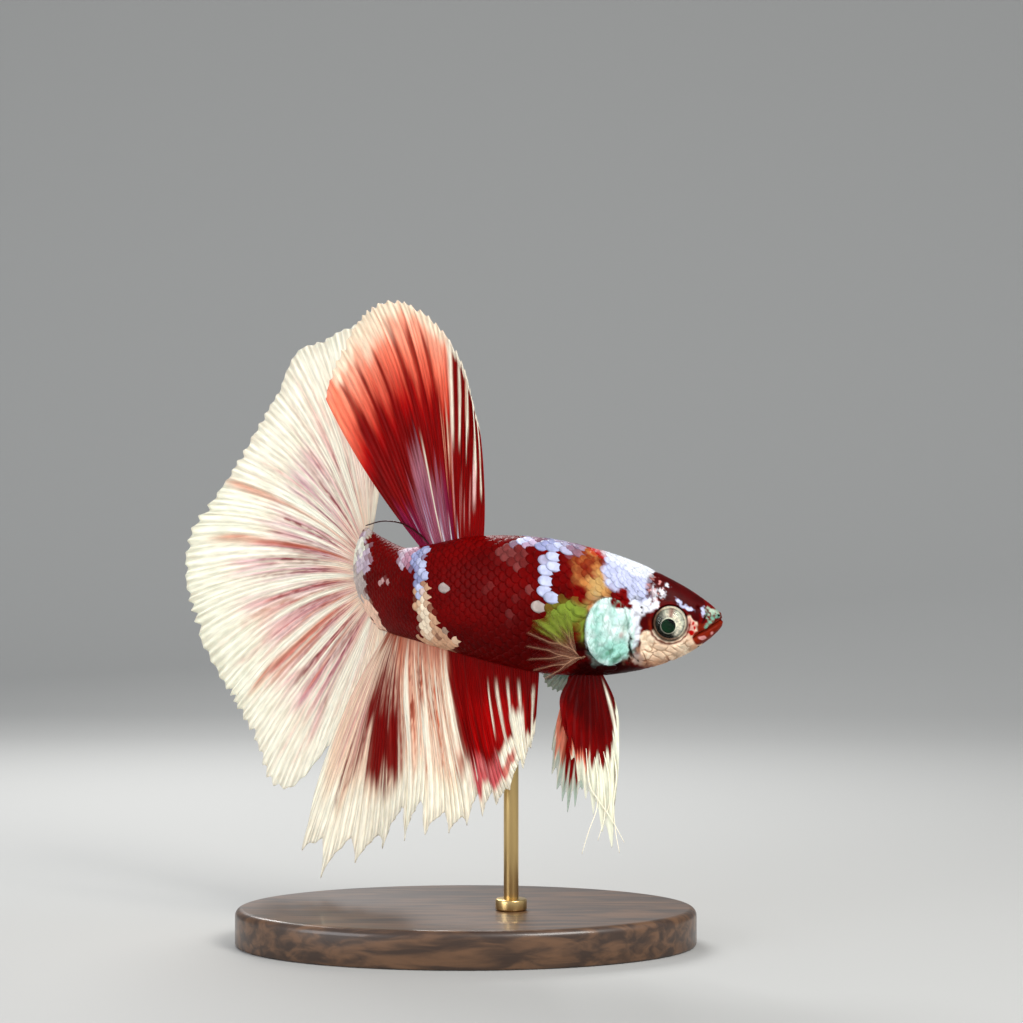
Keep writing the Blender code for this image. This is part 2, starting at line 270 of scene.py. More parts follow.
class Strips:
    """Many separate grids in one mesh; places holds each vertex's strip, column and row."""

    def __init__(self, count: int, across: int, along: int) -> None:
        """Cuts one long grid into strips.

        Args:
            count: Number of strips.
            across: Cells across a strip.
            along: Cells along a strip.
        """
        self.bm = bmesh.new()
        side = across + 1
        columns = count * side - 1
        bmesh.ops.create_grid(self.bm, x_segments=columns, y_segments=along, size=1.0)

        def column(x: float) -> float:
            """The column at a place across the grid."""
            return (x + 1.0) / 2.0 * columns

        gaps = [f for f in self.bm.faces if int(column(f.calc_center_median().x)) % side == across]
        bmesh.ops.delete(self.bm, geom=gaps, context="FACES")
        self.places = []
        for vert in self.bm.verts:
            number, row = round(column(vert.co.x)), round((vert.co.y + 1.0) / 2.0 * along)
            self.places.append((number // side, number % side, row))


# ---------------------------------------------------------------- shape of the fish


@dataclass
class PlanCurve:
    """A curve in plan: the spine up to a point, then a tail that turns to a heading of its own."""

    snout: Spot
    level: float
    leaves: float = 80.0
    end_heading: float = 0.0
    turn_length: float = 1.0
    bend: float = 50.0
    bend_start: float = 9.0
    bend_end: float = 44.0
    step: float = 0.25
    reach: float = 80.0
    run_in: float = 8.0

    def __post_init__(self) -> None:
        """Walks along the curve and keeps its points."""
        start, end = self.spine_heading(self.leaves), math.radians(self.end_heading)
        self.points, self.headings = [self.snout], [0.0]
        for i in range(int(self.reach / self.step)):
            s = (i + 0.5) * self.step
            turned = self.spine_heading(s)
            if s >= self.leaves:
                turned = lerp(start, end, min((s - self.leaves) / self.turn_length, 1.0))
            x, y = self.points[-1]
            self.points.append((x - math.cos(turned) * self.step, y + math.sin(turned) * self.step))
            self.headings.append(turned)

    def spine_heading(self, s: float) -> float:
        """How far the spine has turned away from straight back at s, in radians."""
        return math.radians(self.bend) * rise(s, self.bend_start, self.bend_end)

    def at(self, s: float, side: float = 0.0, height: float = 0.0) -> Vector:
        """The point at distance s, moved sideways and up."""
        steps = clamp(s / self.step, -self.run_in, len(self.points) - 1.001)
        i = int(max(steps, 0.0))
        t = steps - i
        x, y = (lerp(self.points[i][k], self.points[i + 1][k], t) for k in (0, 1))
        turned = lerp(self.headings[i], self.headings[i + 1], t)
        return Vector((x - math.sin(turned) * side, y - math.cos(turned) * side, self.level + height))


@dataclass
class BodyShape:
    """The loft of head, trunk and tail stalk, and its fine relief.

    A row of sections holds s, the back's height, the belly's height and half the width. A row of
    folds holds the span of s where it counts, its height, its width and its path.
    """

    spine: PlanCurve
    eye: Spot = (5.95, -0.35)
    eye_radius: float = 1.85
    cover: Spot = (12.25, -1.25)
    cover_half: Spot = (2.45, 3.68)
    tail_end: float = 43.0
    bulge: float = 2.6
    skew: float = 1.4
    bulge_start: float = 36.0
    power: float = 2.2
    snout_round: float = 0.9
    ring_steps: int = 96
    sections: Table = (
        (0.0, 0.3, -0.6, 0.55),
        (1.6, 1.8, -2.3, 1.55),
        (4.6, 3.8, -4.2, 2.55),
        (9.4, 6.1, -5.7, 3.4),
        (14.7, 7.8, -6.2, 3.85),
        (20.5, 8.8, -5.75, 3.9),
        (27.0, 8.8, -4.4, 3.35),
        (33.5, 7.75, -3.05, 2.6),
        (36.5, 7.5, -2.55, 2.15),
        (40.0, 8.5, -2.25, 1.55),
        (43.0, 9.7, -1.9, 1.05),
    )
    folds: tuple = (
        (-9.0, 4.5, 0.16, 0.3, ((0.5, 0.55), (2.3, -1.05))),
        (-9.0, 4.5, -0.34, 0.13, ((0.0, 0.02), (2.7, -1.52), (3.3, -2.0))),
        (-9.0, 4.5, 0.14, 0.35, ((0.4, -0.75), (2.9, -2.35))),
        (-9.0, 4.5, -0.3, 0.16, ((2.85, 1.25),)),
        (-9.0, 4.5, 0.08, 0.32, ((2.3, 0.8),)),
        (-9.0, 4.5, -0.12, 0.12, ((0.72, 0.52),)),
        (8.0, 16.0, -0.16, 0.1, ((10.2, 1.3), (10.4, -1.6))),
        (8.0, 16.0, -0.24, 0.13, ((10.1, -2.2), (10.2, -4.6))),
        (8.0, 16.0, -0.12, 0.08, ((10.9, 1.3), (10.2, 0.6))),
    )

    def __post_init__(self) -> None:
        """Prepares the store of ways round the sections."""
        self.rings: dict[int, list[float]] = {}

    def back(self, s: float) -> float:
        """Height of the back at s."""
        return through(self.sections, s, 1)

    def belly(self, s: float) -> float:
        """Height of the belly at s."""
        return through(self.sections, s, 2)

    def middle(self, s: float) -> float:
        """Height of the broadest level at s."""
        return (self.belly(s) + self.back(s)) / 2.0

    def tail_shift(self, s: float, up: float) -> float:
        """How far back the rounded end of the tail stalk reaches at a share of its height."""
        share = rise(s, self.bulge_start, self.tail_end)
        return share * (self.bulge * (1.0 - up * up) + self.skew * (up - 1.0))

    def section_point(self, s: float, turn: float, inset: float = 0.0) -> Spot:
        """Side and height of the skin.

        Args:
            s: Distance from the snout.
            turn: Angle from the right flank, upwards, in radians.
            inset: How far inside the outer shape.

        Returns:
            Side and height in millimetres.
        """
        across, up = (
            math.copysign(abs(way(turn)) ** (2.0 / self.power), way(turn)) for way in (math.cos, math.sin)
        )
        small = math.sqrt(max(1.0 - max(1.0 - s / self.snout_round, 0.0) ** 2, 0.0))
        mid = self.middle(s)
        half = (self.back(s) - mid) * small - inset
        return (through(self.sections, s, 3) * small - inset) * across, mid + max(half, 0.02) * up

    def point(self, s: float, turn: float, inset: float = 0.0) -> Vector:
        """The point of the skin at s and at a turn round the section."""
        side, height = self.section_point(s, turn, inset)
        mid = self.middle(s)
        up = (height - mid) / (self.back(s) - mid)
        return self.spine.at(s + self.tail_shift(s, up), side, height)

    def ring(self, s: float) -> list[float]:
        """Lengths of the way round the section at s, from the belly over the right flank."""
        key = round(s * 2.0)
        if key not in self.rings:
            turns = (TURN * i / self.ring_steps - TURN / 4.0 for i in range(self.ring_steps + 1))
            spots = [self.section_point(key / 2.0, turn) for turn in turns]
            self.rings[key] = lengths = [0.0]
            for before, here in zip(spots, spots[1:]):
                lengths.append(lengths[-1] + math.dist(before, here))
        return self.rings[key]

    def turn_at(self, s: float, share: float) -> float:
        """The turn at an even share of the way round the section, from the belly over the right flank."""
        lengths = self.ring(s)
        target = (share % 1.0) * lengths[-1]
        i = int(clamp(bisect_right(lengths, target) - 1, 0, self.ring_steps - 1))
        part = (target - lengths[i]) / max(lengths[i + 1] - lengths[i], 1e-6)
        return TURN * (i + part) / self.ring_steps - TURN / 4.0

    def from_eye(self, s: float, height: float) -> float:
        """Distance from the middle of the eye, in flank coordinates."""
        return math.hypot(s - self.eye[0], height - self.eye[1])

    def cover_share(self, s: float, height: float) -> float:
        """0 at the middle of the gill cover and 1 at its edge."""
        x, y = s - self.cover[0], height - self.cover[1]
        return math.hypot(x / self.cover_half[0], y / self.cover_half[1])

    def relief(self, s: float, height: float) -> float:
        """Height of the skin's fine relief over the plain loft, at a spot of the flank."""
        out = 0.0
        for first, last, depth, width, path in self.folds:
            if first < s < last:
                out += depth * ridge(from_path((s, height), path), width)
        if s < 9.0:
            eye = self.from_eye(s, height) - self.eye_radius
            under = rise(-math.sin(math.atan2(height - self.eye[1], s - self.eye[0])), 0.0, 0.6)
            out -= 1.1 * rise(eye, 0.02, -0.35)
            out += 0.12 * ridge(eye - 0.18, 0.16)
            out += under * (0.06 * ridge(eye - 0.75, 0.2) - 0.08 * ridge(eye - 0.45, 0.1))
        if 8.0 < s < 16.0:
            share = self.cover_share(s, height)
            behind = rise(s, 10.3, 11.6)
            edge = 1.0 + 0.022 * waver(height * 1.6, 3.0)
            out += 0.12 * behind * rise(share, edge, edge - 0.06)
            out -= 0.3 * behind * ridge(max(share - edge, 0.0) * 3.0, 0.4) * (share > edge - 0.02)
        if s > 39.5:
            knobs = waver(s * 1.6, height * 1.6, 81.0) + 0.5 * waver(s * 3.4, height * 3.4, 83.0)
            out += 0.16 * rise(s, 40.0, 42.0) * min(knobs, 0.6)
        gap, plates = self.plates(s, height)
        return out + plates * (0.05 - 0.13 * ridge(gap, 0.1))

    def plates(self, s: float, height: float) -> Spot:
        """The bony plates of gill cover and cheek.

        Args:
            s: Distance from the snout.
            height: Height over the snout's level.

        Returns:
            Distance to the nearest gap between two plates, and how strong the plates are there.
        """
        if not 2.2 < s < 15.2 or height > 3.2:
            return 9.0, 0.0

        def gap(x: float, y: float, seed: float, size: float) -> float:
            """How far a place of a cell pattern is from the nearest edge between two cells."""
            near = noise.voronoi(Vector((x, y, seed)))[0]
            return (near[1] - near[0]) * size

        warp = 0.5 * waver(s * 0.9, height * 0.9, 41.0) + 0.25 * waver(s * 2.4, height * 2.4, 43.0)
        if self.cover_share(s, height) < 1.0:
            lean = 0.35 * rise(height, -0.5, -3.0)
            x, y = s + warp + lean * (height + 2.0), height - lean * (s - 12.0)
            return gap(x / 1.05, y / 1.9, 3.0, 0.945), 0.42
        strength = rise(self.from_eye(s, height), 2.35, 2.6) * rise(s, 10.9, 10.2)
        if s > 7.9 and height > -2.2:
            return gap(s + warp, height / 1.5, 11.0, 0.8), 0.45 * strength
        strength *= rise(height, 0.2, -0.5) * rise(s, 3.2, 4.2)
        strength *= 0.25 + 0.75 * rise(waver(s * 0.9, height * 0.9, 61.0), -0.15, 0.3)
        y = (height - 0.15 * s + 0.5 * warp) / 0.62
        return gap((s + warp) / 1.1, y, 17.0, 0.7), 0.7 * strength


# ---------------------------------------------------------------- markings and painted light


@dataclass(frozen=True)
class Patch:
    """One patch of colour, mostly a marking and in a few places painted light and shade: a few soft ovals
    (s, height, reach back, reach up, and a tilt in degrees if any).
    """

    tint: Tint
    ovals: Table
    ragged: float = 0.35
    grain: float = 0.9
    soft: float = 0.12
    pearl: float = 0.0
    strength: float = 1.0
    far: float = 6.0
    faint: float = -1.5

    def amount(self, s: float, height: float) -> float:
        """How strongly the patch covers a place, from 0 to 1."""
        best = -self.far
        for s_mid, h_mid, along, up, *tilt in self.ovals:
            x, y = s - s_mid, height - h_mid
            if abs(x) > along + self.far or abs(y) > up + self.far:
                continue
            angle = math.radians(tilt[0] if tilt else 0.0)
            c, k = math.cos(angle), math.sin(angle)
            share = math.hypot((x * c + y * k) / along, (y * c - x * k) / up)
            best = max(best, (1.0 - share) * min(along, up))
        if best < self.faint:
            return 0.0
        x, y = s / self.grain, height / self.grain
        best += self.ragged * (waver(x, y, 5.0) + 0.5 * waver(x * 2.3, y * 2.3, 9.0))
        return self.strength * rise(best, -self.soft, self.soft)


PATCHES = (
    # Painted shade: a broad soft wine band darkens the lower flank towards the belly.
    Patch(Tint.WINE, ((22.0, -3.8, 16.0, 2.4),), ragged=0.9, grain=3.0, soft=1.6, strength=0.45),
    Patch(Tint.MAROON, ((15.0, -2.9, 0.7, 1.3), (11.5, -5.5, 3.8, 1.0, 8.0)), soft=0.25),
    Patch(Tint.AMBER, ((14.4, 5.6, 1.4, 1.9), (14.0, 3.4, 1.6, 1.9)), soft=0.4),
    Patch(Tint.STRAW, ((13.5, 3.6, 0.9, 1.6), (14.6, 2.0, 1.0, 0.9)), soft=0.5),
    Patch(Tint.AMBER, ((13.9, 1.6, 0.5, 0.8),), ragged=0.4, grain=0.5, soft=0.2),
    Patch(Tint.MOSS, ((16.4, 0.6, 1.7, 1.4, -20.0), (14.9, -0.4, 0.5, 1.8)), soft=0.35),
    Patch(Tint.SCARLET, ((13.4, 7.2, 1.1, 0.5, 20.0),), ragged=0.4, grain=0.5, soft=0.15),
    Patch(
        Tint.RUST, ((14.5, 5.3, 0.9, 0.75), (13.2, 6.2, 0.6, 0.4), (15.0, 6.8, 0.6, 0.5)),
        ragged=0.8, grain=0.6, soft=0.2, strength=0.9,
    ),
    Patch(Tint.BLOOD, ((15.25, 2.75, 0.75, 1.0), (14.5, 5.5, 0.5, 0.4)), soft=0.2),
    Patch(
        Tint.LAVENDER,
        (
            (12.1, 5.1, 0.8, 1.5), (10.9, 5.5, 2.1, 1.3, 25.0), (10.4, 4.0, 1.9, 1.4, 20.0),
            (9.2, 3.2, 1.3, 1.9), (8.9, 2.0, 0.8, 1.2),
        ),
        ragged=0.25, pearl=0.7,
    ),
    Patch(
        Tint.PEARL,
        (
            (10.6, 6.3, 2.6, 0.7, 24.0), (9.0, 5.3, 1.9, 0.9, 26.0), (9.7, 0.4, 1.1, 1.8),
            (9.9, -1.7, 0.9, 1.3), (8.5, 1.4, 0.8, 0.6),
        ),
        ragged=0.25, soft=0.2, pearl=0.8,
    ),
    Patch(
        Tint.FROST, ((12.25, -1.25, 2.45, 3.68), (10.6, -1.0, 1.0, 2.4)),
        ragged=0.06, grain=1.2, soft=0.06, pearl=0.9,
    ),
    Patch(
        Tint.CYAN, ((11.9, -3.2, 1.9, 1.2, -15.0), (13.6, -1.3, 0.4, 2.0)),
        grain=0.5, soft=0.6, pearl=1.0,
    ),
    Patch(Tint.TEAL, ((12.2, -3.3, 0.9, 0.25, -35.0), (11.2, -3.9, 0.8, 0.2, -35.0)), soft=0.2),
    Patch(Tint.STONE, ((10.8, -0.9, 0.28, 0.65, 10.0), (9.2, -4.1, 0.7, 0.7)), soft=0.25),
    Patch(
        Tint.BLOOD, ((11.2, 1.9, 0.95, 0.72), (10.9, 2.9, 0.5, 0.55), (10.3, 1.45, 0.4, 0.25)),
        ragged=0.15, grain=0.6, soft=0.08,
    ),
    Patch(
        Tint.CREAM,
        (
            (7.5, -2.9, 1.6, 1.7), (8.3, -1.9, 0.9, 0.8), (7.6, -1.6, 0.9, 0.6), (5.6, -3.5, 2.4, 1.4, 10.0),
            (4.0, -2.4, 1.4, 1.3, 20.0), (3.7, -0.9, 0.8, 1.3), (2.9, -3.0, 1.3, 0.7, 30.0),
        ),
        ragged=0.15, pearl=0.25,
    ),
    Patch(Tint.SAND, ((6.6, -4.7, 2.8, 0.6, 8.0), (2.6, -3.4, 1.2, 0.4, 30.0)), soft=0.4),
    Patch(
        Tint.SAND, ((6.0, -3.6, 3.0, 1.2, 8.0), (4.0, -2.2, 1.0, 0.8)),
        ragged=1.1, grain=0.55, soft=0.4, strength=0.4,
    ),
    Patch(Tint.ROSE, ((3.8, -0.7, 0.7, 0.8),), ragged=0.3, soft=0.3, strength=0.7),
    Patch(Tint.MAROON, ((12.2, -5.9, 4.2, 0.95),), ragged=0.15, grain=0.8),
    Patch(
        Tint.CLARET,
        (
            (7.5, 4.1, 0.9, 0.9), (6.2, 3.4, 1.7, 1.4, 28.0), (4.6, 2.5, 1.8, 1.2, 32.0),
            (3.3, 1.5, 1.2, 1.1, 35.0), (3.2, 0.4, 0.5, 0.6), (8.1, 3.2, 0.3, 0.9),
        ),
        ragged=0.18, grain=0.7,
    ),
    Patch(Tint.CLARET, ((8.3, -0.35, 0.95, 0.75, 20.0), (8.3, 2.6, 0.15, 0.2)), ragged=0.15),
    Patch(
        Tint.ROSE, ((7.3, 2.5, 0.35, 0.7), (7.9, 3.4, 0.2, 0.5)),
        ragged=0.9, grain=0.42, soft=0.1, strength=0.85,
    ),
    Patch(
        Tint.PEARL,
        (
            (6.7, 2.75, 0.32, 0.45), (7.6, 2.5, 0.2, 0.6), (7.5, 1.65, 0.4, 0.45), (8.0, 2.1, 0.2, 0.3),
            (6.2, 3.6, 0.2, 0.15),
        ),
        ragged=0.3, grain=0.3, soft=0.14, strength=0.75,
    ),
    Patch(
        Tint.LAVENDER, ((4.95, 1.9, 0.45, 0.2, 34.0), (4.2, 1.25, 0.65, 0.2, 24.0), (2.35, 0.85, 0.2, 0.36)),
        ragged=0.16, grain=0.35, soft=0.1, pearl=0.8,
    ),
    Patch(
        Tint.RUST, ((0.8, -1.0, 1.0, 0.9, 40.0), (1.8, -1.6, 1.6, 0.7, 40.0), (2.8, -1.95, 0.8, 0.7, 35.0)),
        ragged=0.1,
    ),
    Patch(
        Tint.MINT, ((1.35, 0.75, 0.6, 0.26, 35.0), (1.9, 0.6, 0.2, 0.3)),
        ragged=0.25, grain=0.3, soft=0.15, strength=0.8,
    ),
    Patch(
        Tint.TEAL, ((1.75, -0.3, 0.9, 0.2, -52.0), (1.0, 0.25, 0.3, 0.2)),
        ragged=0.2, grain=0.3, strength=0.85,
    ),
    Patch(Tint.INK, ((2.2, 0.1, 0.6, 0.13, -62.0), (1.35, -0.45, 0.7, 0.08, -50.0)), ragged=0.04),
    Patch(Tint.INK, ((0.76, 0.35, 0.16, 0.14),), ragged=0.02, soft=0.06),
    # Painted highlights: two small pink spots on the lower lip stand in for glints of light there.
    Patch(Tint.ROSE, ((1.4, -1.4, 0.14, 0.2), (2.4, -2.05, 0.2, 0.1)), soft=0.06),
    Patch(
        Tint.SCARLET,
        (
            (3.6, -1.4, 0.26, 0.26), (3.45, -0.45, 0.14, 0.18), (4.3, -1.8, 0.1, 0.2),
            (3.3, -0.9, 0.12, 0.2), (3.9, -0.6, 0.1, 0.14), (4.0, -1.3, 0.1, 0.1),
        ),
        ragged=0.12, grain=0.3, soft=0.06,
    ),
    Patch(
        Tint.INK,
        (
            (8.95, 1.3, 0.12, 0.12), (10.0, -2.0, 0.14, 0.12), (10.15, -2.9, 0.12, 0.35),
            (10.0, -3.5, 0.1, 0.4), (9.3, 3.0, 0.12, 0.16), (2.8, -2.95, 0.1, 0.1), (10.5, 3.35, 0.12, 0.1),
            (9.65, 2.4, 0.13, 0.13), (9.9, 3.6, 0.08, 0.1), (6.5, 3.1, 0.1, 0.12), (8.9, 0.75, 0.1, 0.1),
        ),
        ragged=0.04, grain=0.3, soft=0.06,
    ),
    # Painted reflections: faint pink blotches on the red flank stand in for light reflected off the body.
    Patch(
        Tint.ROSE,
        (
            (22.5, 6.9, 1.2, 0.8), (21.2, 6.1, 0.4, 0.8), (20.4, 3.3, 0.3, 0.5), (21.6, 2.4, 0.2, 0.3),
            (21.9, 0.0, 0.3, 0.4), (24.2, 3.0, 0.3, 0.3),
        ),
        ragged=0.5, soft=0.3, strength=0.13,
    ),
    Patch(Tint.CREAM, ((28.2, -2.9, 0.55, 0.3), (29.6, -1.9, 0.4, 0.3)), ragged=0.3),
    Patch(
        Tint.SAND, ((31.9, 1.6, 0.9, 2.4, 8.0), (31.2, -1.2, 1.2, 1.6), (30.6, -3.0, 2.6, 0.8)),
        ragged=0.45, grain=0.8, pearl=0.3,
    ),
    Patch(Tint.CREAM, ((31.6, -0.2, 0.7, 2.4),), ragged=0.6, grain=0.6, soft=0.3, pearl=0.3),
    Patch(Tint.LILAC, ((35.2, 6.7, 1.0, 1.3),), ragged=0.5, pearl=0.4, strength=0.8),
    Patch(Tint.MAUVE, ((34.2, 6.6, 1.0, 1.1),), ragged=0.4, pearl=0.4, strength=0.8),
    Patch(Tint.SLATE, ((33.0, 6.4, 0.9, 1.2, 6.0), (32.3, 4.4, 0.6, 1.5)), pearl=0.6),
    Patch(Tint.LAVENDER, ((32.2, 5.4, 0.35, 1.5), (32.2, 3.0, 0.4, 0.5)), pearl=0.7),
    Patch(Tint.STONE, ((42.4, 4.8, 1.7, 4.8),), ragged=1.0, grain=0.7, soft=0.2, pearl=0.3),
    Patch(
        Tint.LILAC, ((41.4, 5.8, 1.3, 1.2), (42.8, 8.0, 0.9, 0.9)),
        ragged=0.9, grain=0.5, soft=0.25, pearl=0.3, strength=0.8,
    ),
    Patch(Tint.MILK, ((42.7, 6.4, 0.9, 2.0),), ragged=1.0, grain=0.4, strength=0.6),
    Patch(Tint.BLUSH, ((38.0, 3.5, 0.5, 0.5),), ragged=0.7, grain=0.5, strength=0.5),
    Patch(Tint.PEACH, ((41.9, -0.3, 1.7, 1.7),), ragged=1.0, grain=0.6, pearl=0.3),
)  # fmt: skip

SCALE_PATCHES = (
    Patch(
        Tint.LAVENDER,
        (
            (18.6, 6.5, 0.42, 0.5), (18.7, 5.3, 0.8, 0.55), (18.7, 4.1, 0.42, 0.7), (18.6, 2.9, 0.4, 0.7),
            (18.2, 1.8, 0.45, 0.6),
        ),
        ragged=0.0, soft=0.02, pearl=0.8,
    ),
    Patch(
        Tint.LAVENDER,
        ((16.4, 7.4, 1.3, 0.52, 8.0), (18.4, 7.85, 1.4, 0.45, 5.0), (20.6, 8.1, 1.2, 0.4, 3.0)),
        ragged=0.25, grain=0.7, pearl=0.7,
    ),
    Patch(Tint.SLATE, ((18.9, 7.8, 0.8, 0.5),), ragged=0.2, pearl=0.7),
    Patch(Tint.MAUVE, ((20.4, 8.0, 0.6, 0.6), (16.2, 7.3, 0.5, 0.5)), soft=0.2, strength=0.5),
    Patch(Tint.STONE, ((19.5, 0.9, 0.5, 0.6), (28.95, 3.2, 0.35, 0.42)), ragged=0.0, pearl=0.6),
)  # fmt: skip


@dataclass(frozen=True)
class Markings:
    """All the markings of the body, from the ground colour up, with some painted highlights, reflections and
    shade among them; some are only on whole scales.
    """

    ground_pearl: float = 0.05
    crack: tuple[Spot, ...] = (
        (10.9, 1.5), (10.4, -0.1), (10.1, -1.85), (10.3, -2.7), (9.8, -3.8), (9.2, -4.4)
    )  # fmt: skip

    def line_work(self, body: BodyShape, s: float, height: float, colour: Colour) -> Colour:
        """Draws the dark gaps between the plates, partly the plates' own dark edges and partly painted shade
        in their grooves, and the rust fold under the eye.
        """
        gap, plates = body.plates(s, height)
        # Painted shade: the grooves between the plates are darkened, partly as their own dark edges and
        # partly as the shade that falls in them.
        dark = blend(tuple(c * c * 0.45 for c in colour), Tint.RUST.rgb, 0.2)
        colour = blend(colour, dark, min(1.1 * plates * ridge(gap, 0.08), 0.8))
        cover = rise(body.cover_share(s, height), 1.02, 0.96)
        if cover > 0.0:
            down = height + 0.5 * s
            fine = waver(s * 1.4, down * 0.9, 75.0)
            colour = blend(colour, Tint.CYAN.rgb, 0.45 * cover * rise(fine, -0.05, 0.4))
            bend = 0.5 * waver(s, height, 71.0)
            across = s + 0.25 * down
            broad = ridge(waver(across * 1.9 + bend, down * 0.45, 73.0), 0.05)
            thin = 0.7 * ridge(waver(across * 2.6 - bend, down * 0.6, 79.0), 0.05)
            colour = blend(colour, Tint.TEAL.rgb, 0.6 * cover * max(broad, thin))
        crack = from_path((s, height), self.crack) + 0.1 * waver(s * 4.0, height * 4.0, 85.0)
        deep = 0.35 + 0.6 * rise(height, -1.0, -2.0)
        colour = blend(colour, Tint.INK.rgb, deep * ridge(max(crack, 0.0), 0.11))
        eye = body.from_eye(s, height) - body.eye_radius
        under = rise(height, body.eye[1] + 0.9, body.eye[1] - 0.4)
        fold = under * ridge(eye - 0.32 + 0.16 * waver(s * 2.6, height * 2.6, 87.0), 0.14)
        colour = blend(colour, Tint.RUST.rgb, 0.9 * fold)
        return blend(colour, Tint.INK.rgb, 0.8 * ridge(eye - 0.02, 0.08))

    def at(self, s: float, height: float, flank: float, whole_scale: bool) -> tuple[Colour, float]:
        """Colour and pearl of the body at a place.

        Args:
            s: Distance from the snout.
            height: Height over the snout's level.
            flank: Below 0 on the left flank, whose markings stray.
            whole_scale: True for a scale's root, so that the scale is one colour.

        Returns:
            The linear colour, and how pearly it is.
        """
        if flank < 0.0:
            s += 0.9 * waver(s / 6.0, height / 4.0, 21.0)
            height += 0.8 * waver(s / 5.0, height / 5.0, 33.0)
        colour = blend(Tint.BLOOD.rgb, Tint.WINE.rgb, 0.35 + 0.35 * waver(s / 4.0, height / 3.0, 2.0))
        pearl = self.ground_pearl
        for patch in PATCHES + (SCALE_PATCHES if whole_scale else ()):
            amount = patch.amount(s, height)
            if amount > 0.0:
                colour = blend(colour, patch.tint.rgb, amount)
                pearl = lerp(pearl, patch.pearl, amount)
        return colour, pearl


# ---------------------------------------------------------------- finishes


class Graph:
    """Adds nodes to a shader tree, from left to right."""

    def __init__(self, tree: bpy.types.NodeTree) -> None:
        """Starts at the left edge of a tree."""
        self.tree = tree
        self.column = 0

    def node(self, kind: str, **settings: object) -> bpy.types.Node:
        """Adds a node and sets its properties."""
        made = self.tree.nodes.new(kind)
        made.location = (self.column * 190.0 - 1400.0, -(self.column % 3) * 160.0)
        self.column += 1
        for key, value in settings.items():
            setattr(made, key, value)
        return made

    def join(self, source: bpy.types.NodeSocket, target: bpy.types.NodeSocket) -> None:
        """Links two sockets."""
        self.tree.links.new(source, target)

    def fill(self, made: bpy.types.Node, **values: object) -> bpy.types.Node:
        """Links a node's inputs, or sets their values; an underscore stands for a blank."""
        for key, value in values.items():
            self.put(made.inputs[key.replace("_", " ")], value)
        return made

    def put(self, socket: bpy.types.NodeSocket, value: object) -> None:
        """Links a socket, or sets its value."""
        if isinstance(value, bpy.types.NodeSocket):
            self.join(value, socket)
        else:
            socket.default_value = value

    def maths(self, operation: str, *values: object, clamp: bool = False) -> bpy.types.NodeSocket:
        """A sum of one to three values."""
        made = self.node("ShaderNodeMath", operation=operation, use_clamp=clamp)
        for socket, value in zip(made.inputs, values):
            self.put(socket, value)
        return made.outputs[0]

    def fit(self, value: object, low: float, high: float, new_low: float, new_high: float):
        """Maps a value from one span smoothly to another."""
        made = self.node("ShaderNodeMapRange", interpolation_type="SMOOTHSTEP")
        for socket, entry in zip(made.inputs, (value, low, high, new_low, new_high)):
            self.put(socket, entry)
        return made.outputs[0]

    def mix(self, amount: object, first: object, second: object, way: str = "MIX"):
        """Mixes two colours."""
        made = self.node("ShaderNodeMix", data_type="RGBA", blend_type=way)
        for number, value in zip((0, 6, 7), (amount, first, second)):
            self.put(made.inputs[number], value)
        return made.outputs[2]

    def shaded(self, colour: bpy.types.NodeSocket, shade: bpy.types.NodeSocket):
        """A colour made lighter or darker by a factor."""
        tone = self.node("ShaderNodeCombineColor")
        for socket in tone.inputs:
            self.put(socket, shade)
        return self.mix(1.0, colour, tone.outputs[0], "MULTIPLY")

    def bump(self, height: bpy.types.NodeSocket, depth: float) -> bpy.types.NodeSocket:
        """The normal over a height that is at most depth millimetres deep."""
        return self.fill(self.node("ShaderNodeBump"), Distance=depth * MM, Height=height).outputs[0]


def new_group(name: str, inputs: dict[str, float], outputs: tuple[str, ...]) -> tuple:
    """Starts a shader group with float sockets.

    Args:
        name: Name of the group.
        inputs: Names and defaults of the inputs.
        outputs: Names of the outputs.

    Returns:
        The group, its graph, its input node and its output node.
    """
    tree = bpy.data.node_groups.new(name, "ShaderNodeTree")
    for key, value in inputs.items():
        socket = tree.interface.new_socket(key, in_out="INPUT", socket_type="NodeSocketFloat")
        socket.default_value = value
    for key in outputs:
        tree.interface.new_socket(key, in_out="OUTPUT", socket_type="NodeSocketFloat")
    graph = Graph(tree)
    return tree, graph, graph.node("NodeGroupInput"), graph.node("NodeGroupOutput")


